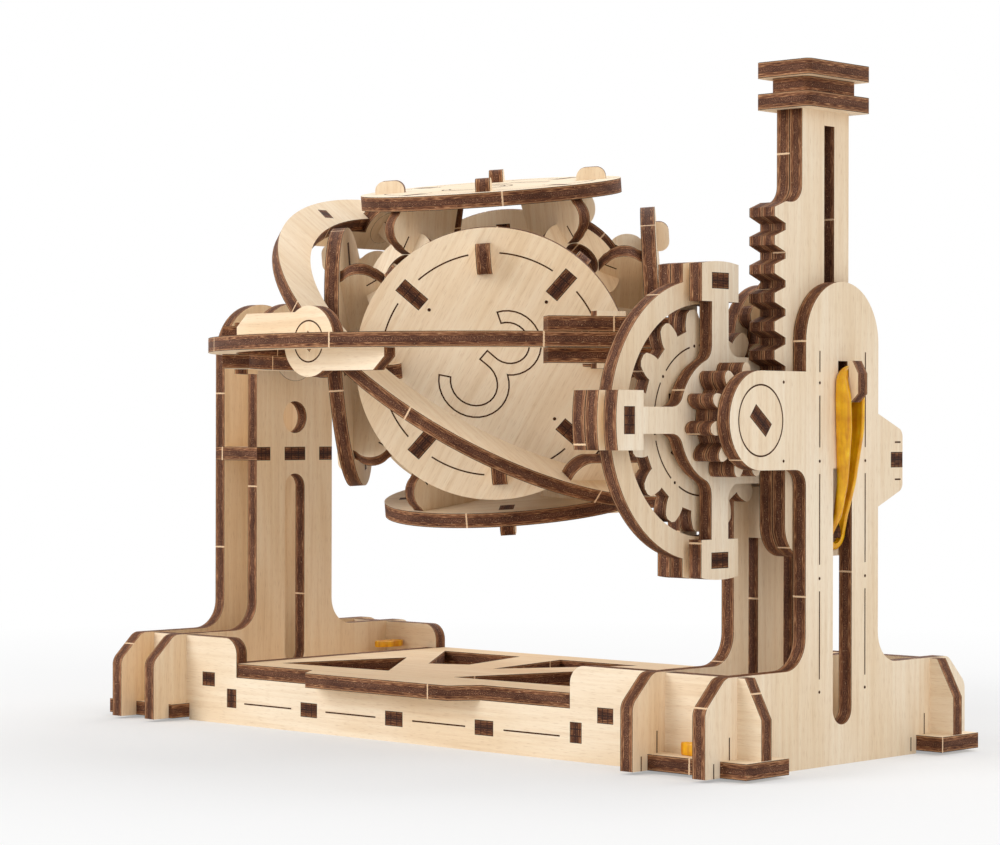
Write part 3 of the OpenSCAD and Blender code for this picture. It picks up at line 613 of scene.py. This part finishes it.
# %% Dress every plywood node
UPRIGHT = (0, 0, 1)
GRAIN = {"front_board": (1, 0, 0), "back_board": (1, 0, 0), "deck": (1, 0, 0),
         "floor_plate": (1, 0, 0), "outer_ring": (1, 0.2, 0), "inner_ring": (1, 0.1, 0),
         "ring_arcs_left": (0, 1, 0), "ring_arcs_right": (0, 1, 0), "cheek_front": (1, 0, 0),
         "cheek_back": (1, 0, 0), "disc_front": (0.6, 0, 0.8), "disc_top": (1, 0.6, 0),
         "cap_lower": (0, 1, 0), "cap_middle": (0, 1, 0), "cap_upper": (0, 1, 0),
         "corner_feet": (1, 0, 0), "bridge_left": (0, 1, 0), "shelf_plates": (0, 1, 0)}
plywood_nodes = [node for node in nodes if node != "rubber_band"]
for node in plywood_nodes:
    dress(node, GRAIN.get(node, UPRIGHT))
print("dressed", len(plywood_nodes), "nodes")

# %% [markdown]
# A line burnt by the laser is a flat ribbon three tenths of a millimetre
# wide that lies a hair above the face. Painting it into the wood's material
# would need a map of its own for each piece, and a ribbon stays crisp from
# close up. A path of points in the face's own two directions is offset to both
# sides by its normals, all at once. A dot is one small filled polygon. All
# marks on one body can share a mesh.

# %% Ribbons and dots
LINE = 0.3 * MM
DOT_SIDES = 12
SHARPEST = 0.4  # cosine of the half turn, below which a corner's point is cut


def left_of(steps):
    """Unit normals to the left of flat steps: (x, y) turned to (-y, x)."""
    turned = np.stack([-steps[:, 1], steps[:, 0]], axis=1)
    return turned / np.linalg.norm(turned, axis=1, keepdims=True)


def ribbon_points(path, width, closed):
    """Left and right border of a path: each point moved half the width along
    the mean normal of its two segments, and further where the path turns: by
    one over the cosine of half the turn, which counts as SHARPEST at least."""
    p = np.asarray(path, dtype=float)
    if closed:
        after, before = np.roll(p, -1, axis=0) - p, p - np.roll(p, 1, axis=0)
    else:
        steps = np.diff(p, axis=0)
        after, before = np.vstack([steps, steps[-1:]]), np.vstack([steps[:1], steps])
    after, before = left_of(after), left_of(before)
    mean = after + before
    mean /= np.linalg.norm(mean, axis=1, keepdims=True)
    reach = 1 / np.maximum((mean * after).sum(axis=1, keepdims=True), SHARPEST)
    return p + mean * reach * width / 2, p - mean * reach * width / 2


def ribbon(path, closed):
    """Flat points of a ribbon and its quads: left border first, then right."""
    left, right = ribbon_points(path, LINE, closed)
    n = len(left)
    i = np.arange(n if closed else n - 1)
    j = (i + 1) % n
    return np.concatenate([left, right]), np.stack([i, n + i, n + j, j], axis=1).tolist()


def filled_dot(x, y, radius):
    """A regular polygon: points at equal angles round its middle."""
    t = np.linspace(0, 2 * np.pi, DOT_SIDES, endpoint=False)
    points = np.stack([x + radius * np.cos(t), y + radius * np.sin(t)], axis=1)
    return points, [list(range(DOT_SIDES))]


# %% Marks on a plane
LIFT = 0.03 * MM


def arc_path(x, y, radius, start=0.0, end=360.0, steps=72):
    """Points on a circle between two angles in degrees; closed for a full turn."""
    full = abs(end - start) >= 360
    t = np.radians(np.linspace(start, end, steps, endpoint=not full))
    return np.stack([x + radius * np.cos(t), y + radius * np.sin(t)], axis=1), full


def line_path(x0, y0, x1, y1):
    """The two ends of a straight line, and that it is open."""
    return np.array([(x0, y0), (x1, y1)], dtype=float), False


def marks_on(plane, paths=(), dots=()):
    """Marks written in millimetres on a plane, turned to metres."""
    made = [(plane, *ribbon(points * MM, closed)) for points, closed in paths]
    return made + [(plane, *filled_dot(x * MM, y * MM, r * MM)) for x, y, r in dots]


def facing_right(node, y=0.0, z=0.0):
    """The plane of a node's right face: its origin, then right and up on it."""
    return (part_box(node)[1][0], y, z), (0, 1, 0), (0, 0, 1)


def burn(name, body, marks):
    """One mesh of marks. Each mark is (plane, flat points, faces); a plane is an
    origin and two directions, and a point is origin + right * u + up * v + a lift."""
    verts, faces = [], []
    for (origin, right, up), flat, polygons in marks:
        right, up = np.array(right, dtype=float), np.array(up, dtype=float)
        right, up = right / np.linalg.norm(right), up / np.linalg.norm(up)
        start = sum(len(v) for v in verts)
        verts.append(np.array(origin) + np.cross(right, up) * LIFT
                     + flat[:, :1] * right + flat[:, 1:] * up)
        faces += [[start + k for k in polygon] for polygon in polygons]
    mesh = bpy.data.meshes.new(name)
    mesh.from_pydata(np.concatenate(verts).tolist(), [], faces)
    mesh.materials.append(engraving)
    obj = put_in_scene(name, mesh)
    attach(obj, body)
    print(name, "has", len(marks), "marks")


# %% [markdown]
# The tower at the handle carries two broken lines up its face with a dot in
# each break, and each turning disc shows as a thin dark circle, because the
# cut round it is a quarter of a millimetre wide. At the feet, short slits
# ease the wood where it grips the next plate. Places on a face are written in
# millimetres, as they were measured.

# %% Lines on the right tower
DOT = 0.3
BROKEN_LINES_Y = (-7.25, 7.25)
FEET_Y = (-30.7, 30.7)
BEARING_CUT = 6.55


def foot_slits():
    """Four slits at each foot, two either side of its middle."""
    return [line_path(y + sign * reach, z0, y + sign * reach, z1)
            for y in FEET_Y for sign in (-1, 1)
            for reach, z0, z1 in ((3.6, 3.6, 7.7), (8.1, 0.6, 3.3))]


tower_lines = [line_path(y, z0, y, z1) for y in BROKEN_LINES_Y
               for z0, z1 in ((16.5, 33), (38, 55), (60, 69.7), (74.1, 78.1))]
tower_lines += [line_path(17.0, z, 18.9, z) for z in (53.7, 60.9)]
tower_lines += foot_slits() + [arc_path(shaft_mid.y / MM, shaft_mid.z / MM, BEARING_CUT)]
tower_dots = [(y, z, DOT) for y in BROKEN_LINES_Y for z in (14.1, 35.4, 57.4, 72.1)]
tower_dots += [(-18.4, z, DOT) for z in (57.5, 72.1)]
burn("tower_lines", "frame",
     marks_on(facing_right("outer_plate_right"), tower_lines, tower_dots)
     + marks_on(facing_right("inner_plate_right"), foot_slits()))

# %% [markdown]
# The long boards have a row of fine lines between their tabs, the back board
# the same row mirrored. The drive gear has a broken circle inside its teeth,
# with a dot in each of its eight breaks.

# %% Lines on the boards
BOARD_LINE_Z = 4.6
board_lines = [line_path(x0, BOARD_LINE_Z, x1, BOARD_LINE_Z)
               for x0, x1 in ((-50.2, -35.6), (-25.2, -10.5), (0, 14.7), (25, 39.7))]
front_face = ((0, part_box("front_board")[0][1], 0), (1, 0, 0), (0, 0, 1))
back_face = ((0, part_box("back_board")[1][1], 0), (-1, 0, 0), (0, 0, 1))
mirrored = [(points * [-1, 1], closed) for points, closed in board_lines]
burn("board_lines", "frame", marks_on(front_face, board_lines) + marks_on(back_face, mirrored))

# %% Circle on the drive gear
GEAR_CIRCLE, GEAR_BREAK = 14, 5.5
gear_turns = range(10, 370, 45)
gear_lines = [arc_path(0, 0, GEAR_CIRCLE, a + GEAR_BREAK, a + 45 - GEAR_BREAK, 24)
              for a in gear_turns]
gear_dots = [(GEAR_CIRCLE * math.cos(a), GEAR_CIRCLE * math.sin(a), DOT)
             for a in map(math.radians, gear_turns)]
burn("gear_lines", "drive_gear",
     marks_on(facing_right("drive_gear", shaft_mid.y, shaft_mid.z), gear_lines, gear_dots))

# %% [markdown]
# The faces of the ball carry plain numerals, one to six. A numeral is drawn
# as a double line, the outline of a stroke. Where the stroke is one open path,
# the outline is worked out from it. Three, four and six touch or cross
# themselves, so their outlines are written down instead.

# %% Numerals as strokes and outlines
NUMERAL_SCALE = 1.55
STROKE_HALF = 0.75


def curve(x, y, rx, ry, start, end, steps=20):
    """Points on an ellipse between two angles in degrees."""
    t = np.radians(np.linspace(start, end, steps))
    return [(x + rx * math.cos(a), y + ry * math.sin(a)) for a in t]


STROKES = {
    1: [[(-2.6, 4.6), (0.4, 7.0), (0.4, -7.0)]],
    2: [curve(0, 3.1, 3.7, 3.7, 165, -35) + [(-3.9, -7.0), (4.2, -7.0)]],
    5: [[(3.6, 7.0), (-2.8, 7.0), (-3.2, 1.0)] + curve(0, -2.4, 4.0, 4.4, 130, -145)],
}
OUTLINES = {
    3: [curve(-0.2, 3.5, 4.25, 4.05, 150, -52) + curve(-0.2, -3.3, 4.65, 4.35, 56, -150)
        + curve(-0.2, -3.3, 3.15, 2.85, -150, 95) + [(-1.6, -0.5), (-1.6, 0.95)]
        + curve(-0.2, 3.5, 2.75, 2.55, -95, 150)],
    4: [[(1.0, 7.0), (2.7, 7.0), (2.7, -1.9), (4.4, -1.9), (4.4, -3.4), (2.7, -3.4), (2.7, -7.0),
         (1.2, -7.0), (1.2, -3.4), (-4.7, -3.4), (-4.7, -2.0)],
        [(1.2, -1.9), (1.2, 4.4), (-3.0, -1.9)]],
    6: [curve(0, -2.9, 4.65, 4.65, 180, 492, 48) + curve(0.6, -0.6, 3.85, 5.45, 168, 105, 12)
        + [(2.3, 6.2), (2.9, 7.6)] + curve(0.6, -0.6, 5.35, 6.95, 105, 178, 14),
        curve(0, -2.9, 3.15, 3.15, 0, 350, 36)],
}


def numeral_outlines(number):
    """Closed outlines of a numeral, in millimetres: a stroke's left border up
    and its right border back, or the outline that is written down."""
    made = []
    for path in STROKES.get(number, []):
        left, right = ribbon_points(np.asarray(path) * NUMERAL_SCALE, 2 * STROKE_HALF, False)
        made.append(np.concatenate([left, right[::-1]]))
    return made + [np.asarray(path) * NUMERAL_SCALE for path in OUTLINES.get(number, [])]


print("numerals drawn:", len(STROKES) + len(OUTLINES))

# %% [markdown]
# Every disc also has a circle that breaks at its eight tenons, eight degrees
# to each side of them, and a dot inside each corner tenon. The ball is turned
# in the model, so each disc's plane is measured from its mesh and not typed.

# %% Marks on the six discs
FACE_NUMBER = {"disc_front": 3, "disc_back": 4, "disc_top": 5, "disc_bottom": 2,
               "disc_right": 6, "disc_left": 1}
NUMERAL_TURN = math.radians(-45)
DISC_CIRCLE, DISC_BREAK = 22.2, 8
CORNER_DOT_AT, CORNER_DOT = 16.5, 0.35


def disc_plane(node):
    """Centre of a disc's outer face and its normal, worked out from its mesh:
    the disc's own middle, pushed out from the ball's middle by half a sheet."""
    co = np.zeros(len(nodes[node].data.vertices) * 3)
    nodes[node].data.vertices.foreach_get("co", co)
    co = co.reshape(-1, 3)
    mid = Vector(((co.max(axis=0) + co.min(axis=0)) / 2).tolist())
    out = (mid - ring_mid).normalized()
    return mid + out * PLY / 2, out


planes = {node: disc_plane(node) for node in FACE_NUMBER}
ball_up = planes["disc_top"][1]
ball_front = planes["disc_front"][1]


def up_on(out):
    """Which way is up on a disc: the ball's own up, or backwards on top and below."""
    return ball_up if abs(out.dot(ball_up)) < 0.5 else -ball_front


turned = np.array([[math.cos(NUMERAL_TURN), math.sin(NUMERAL_TURN)],
                   [-math.sin(NUMERAL_TURN), math.cos(NUMERAL_TURN)]])
broken_circle = [arc_path(0, 0, DISC_CIRCLE, a + DISC_BREAK, a + 45 - DISC_BREAK, 16)
                 for a in range(0, 360, 45)]
corner_dots = [(CORNER_DOT_AT * math.cos(a), CORNER_DOT_AT * math.sin(a), CORNER_DOT)
               for a in np.radians(45 + 90 * np.arange(4))]
disc_marks = []
for node, number in FACE_NUMBER.items():
    spot, out = planes[node]
    lines = broken_circle + [(path @ turned, True) for path in numeral_outlines(number)]
    disc_marks += marks_on((spot, up_on(out).cross(out), up_on(out)), lines, corner_dots)
burn("disc_lines", "ball", disc_marks)

# %% [markdown]
# Every fin of the ball has one short slit where the corner plate laps into
# it. A fin stands on a disc along one of its diagonals, so its plane is that
# of the disc's axis and the diagonal, and the slit lies square to the line
# from the ball's middle to the corner.

# %% Slits in the fins
SLIT_AT, SLIT_FROM, SLIT_TO = 34.6, 4.1, 6.8
lean = math.atan(math.sqrt(2))  # angle in a cube between a face's axis and its corner
fin_marks = []
for spot, out in planes.values():
    for k in range(4):
        turn = Matrix.Rotation(math.radians(45 + 90 * k), 3, out)
        diagonal = (turn @ up_on(out)).normalized()
        to_corner = diagonal * math.sin(lean) + out * math.cos(lean)
        square = out * math.sin(lean) - diagonal * math.cos(lean)
        for side in (-1, 1):
            flat_out = to_corner.cross(square) * side
            plane = (ring_mid + flat_out * PLY / 2, to_corner, square * side)
            slit = line_path(SLIT_AT, side * SLIT_FROM, SLIT_AT, side * SLIT_TO)
            fin_marks += marks_on(plane, [slit])
burn("fin_lines", "ball", fin_marks)

# %% [markdown]
# The inner ring turns on a round disc in each cheek of the outer ring. The cut
# round the disc is a dark circle, as on the tower.

# %% Circles round the pivots of the inner ring
PIVOT_CUT = 4.05
cheek_marks = []
for node, side in (("cheek_front", -1), ("cheek_back", 1)):
    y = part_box(node)[0][1] if side < 0 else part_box(node)[1][1]
    cheek_face = ((ring_mid.x, y, ring_mid.z), (-side, 0, 0), (0, 0, 1))
    cheek_marks += marks_on(cheek_face, [arc_path(0, 0, PIVOT_CUT, steps=48)])
burn("cheek_lines", "outer_gimbal", cheek_marks)

# %% [markdown]
# The rubber band is one loop of flat strip that hangs from the fixed plate
# and pulls on the hook of the moving rack. A cloth or rope simulation could
# hang it, but it is stretched taut, so its shape is known: two straight
# strands and two bends. The strip's section is carried along the loop on a
# grid of two parameters, along the loop and round the section.

# %% A closed strip
STRIP_SIDES = 16


def squared_off(c):
    """A cosine or sine pushed outwards: its sign times the root of its size."""
    return np.sign(c) * np.abs(c) ** 0.5


def strip_loop(name, centre_line, outward, thick, wide, fold=0.0, axis=(1.0, 0.0, 0.0)):
    """A closed strip: at each point of the loop a rounded rectangle, its long
    side along the axis and its short side along the loop's outward normal. A
    shallow crease lifts its middle outward by fold, falling to nought at its rims."""
    m, k = len(centre_line), STRIP_SIDES
    t = np.linspace(0, 2 * np.pi, k, endpoint=False)
    crease = (1 - np.abs(squared_off(np.sin(t)))) * fold
    radial = (squared_off(np.cos(t)) * thick / 2 + crease)[None, :]
    axial = squared_off(np.sin(t))[None, :] * wide[:, None] / 2
    grid = (centre_line[:, None, :] + outward[:, None, :] * radial[..., None]
            + np.array(axis) * axial[..., None])
    i, j = np.meshgrid(np.arange(m), np.arange(k), indexing="ij")
    quads = np.stack([i * k + j, i * k + (j + 1) % k, (i + 1) % m * k + (j + 1) % k,
                      (i + 1) % m * k + j], axis=-1).reshape(-1, 4)
    mesh = bpy.data.meshes.new(name)
    mesh.from_pydata(grid.reshape(-1, 3).tolist(), [], quads.tolist())
    mesh.polygons.foreach_set("use_smooth", [True] * len(quads))
    mesh.materials.append(amber_rubber)
    bm = bmesh.new()
    bm.from_mesh(mesh)
    bmesh.ops.recalc_face_normals(bm, faces=bm.faces)
    bm.to_mesh(mesh)
    bm.free()
    return put_in_scene(name, mesh)


# %% [markdown]
# Where the band is free it spreads to a broad ribbon, and over its two ends it
# bunches up: a small table gives its place, width and spread by height. Its
# lower end dips into the tower's slot.

# %% The rubber band
STRAND_Y, BAND_THICK, BAND_FOLD, BAND_STEPS = 2.15 * MM, 1.1 * MM, 0.4 * MM, 260
# Share of the band's height, then X and width in millimetres, then spread in Y.
LEVELS = np.array([(0.00, 80.5, 1.2, 0.95), (0.08, 81.0, 1.3, 0.85), (0.18, 82.3, 1.6, 0.42),
                   (0.36, 83.6, 2.3, 0.56), (0.66, 84.5, 3.4, 0.90), (0.84, 84.5, 3.3, 1.02),
                   (0.93, 84.2, 2.4, 1.00), (1.00, 83.9, 1.7, 0.92)]) * (1, MM, MM, 1)
band_low, band_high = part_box("rubber_band")
z_low = band_low[2] + STRAND_Y + BAND_THICK / 2
z_high = band_high[2] - STRAND_Y - BAND_THICK / 2


def hanging_loop(steps):
    """Angle, height and whole length of a loop: up one strand, over a half
    circle of radius STRAND_Y, down the other strand and round below."""
    straight, bend = z_high - z_low, np.pi * STRAND_Y
    whole = 2 * (straight + bend)
    s = np.linspace(0, whole, steps, endpoint=False)
    rising, falling = s < straight, (s > straight + bend) & (s < 2 * straight + bend)
    angle = np.clip((s - straight) / STRAND_Y, 0, np.pi)
    below = np.pi + (s - 2 * straight - bend) / STRAND_Y
    angle = np.where(s > 2 * straight + bend, below, angle)
    strand_z = np.where(rising, z_low + s, z_high - (s - straight - bend))
    turn_z = np.where(angle <= np.pi, z_high, z_low) + np.sin(angle) * STRAND_Y
    return angle, np.where(~rising & ~falling, turn_z, strand_z), whole


def smoothed(values):
    """Mean of nine neighbours round the loop, which hides the table's corners."""
    return np.convolve(np.concatenate([values[-4:], values, values[:4]]), np.ones(9) / 9, "valid")


angle, height, length = hanging_loop(BAND_STEPS)
level = (height - band_low[2]) / (band_high[2] - band_low[2])
band_x, wide, spread = [np.interp(level, LEVELS[:, 0], LEVELS[:, k]) for k in (1, 2, 3)]
line = np.stack([smoothed(band_x), np.cos(angle) * STRAND_Y * spread, height], axis=1)
outward = np.stack([np.zeros_like(angle), np.cos(angle), np.sin(angle)], axis=1)
band = strip_loop("rubber_band_strip", line, outward, BAND_THICK, smoothed(wide), BAND_FOLD)
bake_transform(band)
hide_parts("rubber_band")
print("rubber band: %.1f mm round its middle line" % (length / MM))

# %% [markdown]
# Two spare rubber bands have been left in the corners of the base, one on a
# foot between the ears of the right tower and one on the deck at the back.
# Each is a flattened loop that stands on its rim: an ellipse for the centre
# line, its outward normal from the ellipse's own equation, the strip upright.

# %% Spare rubber bands
SPARE_STEPS, SPARE_THICK = 64, 0.6 * MM


def spare_band(name, place, half_x, half_y, high):
    """An elliptic loop: x = half_x cos t, y = half_y sin t, and a normal that
    is proportional to (cos t / half_x, sin t / half_y)."""
    t = np.linspace(0, 2 * np.pi, SPARE_STEPS, endpoint=False)
    flat = np.stack([half_x * np.cos(t), half_y * np.sin(t), np.full_like(t, high / 2)], axis=1)
    normal = np.stack([np.cos(t) / half_x, np.sin(t) / half_y, np.zeros_like(t)], axis=1)
    normal /= np.linalg.norm(normal, axis=1, keepdims=True)
    loop = strip_loop(name, np.array(place) + flat, normal, SPARE_THICK,
                      np.full_like(t, high), axis=(0.0, 0.0, 1.0))
    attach(loop, "frame")


foot_top, deck_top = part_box("corner_feet")[1][2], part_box("deck")[1][2]
board_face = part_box("front_board")[0][1]
left_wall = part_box("inner_plate_left")[1][0]
spare_band("spare_band_front", (73.8 * MM, board_face - 1.3 * MM, foot_top),
           2.7 * MM, 0.7 * MM, 2.4 * MM)
spare_band("spare_band_back", (left_wall + 5.5 * MM, 24.5 * MM, deck_top),
           1.6 * MM, 3.8 * MM, 1.4 * MM)
print("two spare bands laid down")

# %% [markdown]
# The camera stands where the photographer's did: sixty centimetres from the
# ball and a little below its middle, and it looks level through a long lens.
# Its place, turn and lens were fitted to the corners of the base, the boards
# and the towers.

# %% Camera
CAMERA_PLACE = Vector((405.85, -442.6, 64.4)) * MM
CAMERA_YAW = math.radians(90 - 47.07)
CAMERA_PITCH = math.radians(90.015)
CAMERA_ROLL = math.radians(0.116)
CAMERA_LENS, CAMERA_SENSOR = 103.46, 36  # in millimetres, as Blender asks for them
camera_data = bpy.data.cameras.new("photo_camera")
camera_data.lens = CAMERA_LENS
camera_data.sensor_width = CAMERA_SENSOR
camera = put_in_scene("photo_camera", camera_data)
camera.matrix_world = (Matrix.Translation(CAMERA_PLACE) @ Matrix.Rotation(CAMERA_YAW, 4, "Z")
                       @ Matrix.Rotation(CAMERA_PITCH, 4, "X")
                       @ Matrix.Rotation(CAMERA_ROLL, 4, "Z"))
bpy.context.scene.camera = camera
print("camera %.0f mm from the ball" % ((CAMERA_PLACE - ring_mid).length / MM))

# %% [markdown]
# The picture was taken on a white sweep: the ground is white right into the
# background, and only a faint shadow ties the feet to it. More light would
# bleach the wood, so the floor and the world show plain white only to what the
# eye meets, while the light on the object comes at a level where a colour
# looks as it was written.

# %% Floor
FLOOR_HALF = 6.0
FADE_FROM, FADE_TO = 0.1, 0.34
LEAST_GLOW = 0.35
PAPER = 0.8


def seen_directly(add):
    """One for what the eye meets: camera, mirror and glass rays; else nought."""
    rays = add("ShaderNodeLightPath").outputs
    shiny = sums(add, "MAXIMUM", rays["Is Glossy Ray"], rays["Is Transmission Ray"])
    return sums(add, "MAXIMUM", rays["Is Camera Ray"], shiny)


def make_floor():
    """Pale paper that fades into plain white with the distance from the middle."""
    mat, shader, add = new_material("white_floor")
    fill(shader, {"Base Color": (PAPER, PAPER, PAPER, 1), "Roughness": 0.9,
                  "Specular IOR Level": 0.0})
    at = add("ShaderNodeTexCoord").outputs["Object"]
    away = add("ShaderNodeVectorMath", {0: at}, operation="LENGTH").outputs["Value"]
    faded = add("ShaderNodeMapRange", {0: away, 1: FADE_FROM, 2: FADE_TO, 3: LEAST_GLOW,
                                       4: 1.0}).outputs[0]
    glow = add("ShaderNodeEmission", {0: (1, 1, 1, 1), 1: 1.0}).outputs[0]
    factor = sums(add, "MULTIPLY", faded, seen_directly(add))
    mixed = add("ShaderNodeMixShader", {0: factor, 1: shader.outputs[0], 2: glow})
    out = next(n for n in mat.node_tree.nodes if n.type == "OUTPUT_MATERIAL")
    fill(out, {0: mixed.outputs[0]})
    return mat


# Four squares on three by three points, which are numbered along Y first.
steps = np.linspace(-FLOOR_HALF, FLOOR_HALF, 3)
floor_x, floor_y = np.meshgrid(steps, steps, indexing="ij")
floor_points = np.stack([floor_x, floor_y, np.zeros_like(floor_x)], axis=-1).reshape(-1, 3)
floor_mesh = bpy.data.meshes.new("floor")
floor_mesh.from_pydata(floor_points.tolist(), [], [(k, k + 3, k + 4, k + 1) for k in (0, 1, 3, 4)])
floor_mesh.materials.append(make_floor())
put_in_scene("floor", floor_mesh)
print("floor laid, %.0f m wide" % (2 * FLOOR_HALF))

# %% [markdown]
# Three large soft lamps stand for the studio: the key from the front left, a
# weaker one from the right, and one from above and behind that lifts the upward
# faces. The world adds a plain even light, and shows itself as white.

# %% Light
WORLD_LIGHT = 0.52
LAMP_AIM = Vector((0, 0, 0.06))
world = bpy.data.worlds.new("studio")
bpy.context.scene.world = world
world.use_nodes = True
add_to_sky = node_adder(world.node_tree)
strength = sums(add_to_sky, "MULTIPLY_ADD", seen_directly(add_to_sky),
                1 - WORLD_LIGHT, WORLD_LIGHT)
fill(world.node_tree.nodes["Background"], {"Color": (1, 1, 1, 1), "Strength": strength})


def soft_lamp(name, place, size, power):
    """A square area lamp at place, aimed at the object's middle."""
    data = bpy.data.lights.new(name, "AREA")
    data.size = size
    data.energy = power
    lamp = put_in_scene(name, data)
    lamp.location = place
    aim = LAMP_AIM - Vector(place)
    lamp.rotation_euler = aim.to_track_quat("-Z", "Y").to_euler()


soft_lamp("key_lamp", (-0.5, -1.05, 0.6), 0.7, 9)
soft_lamp("side_lamp", (1.1, -0.35, 0.6), 0.8, 3.4)
soft_lamp("top_lamp", (0.05, 0.7, 1.0), 1.0, 7.2)
bpy.context.scene.view_settings.view_transform = "Standard"
print("three lamps and a white sky")
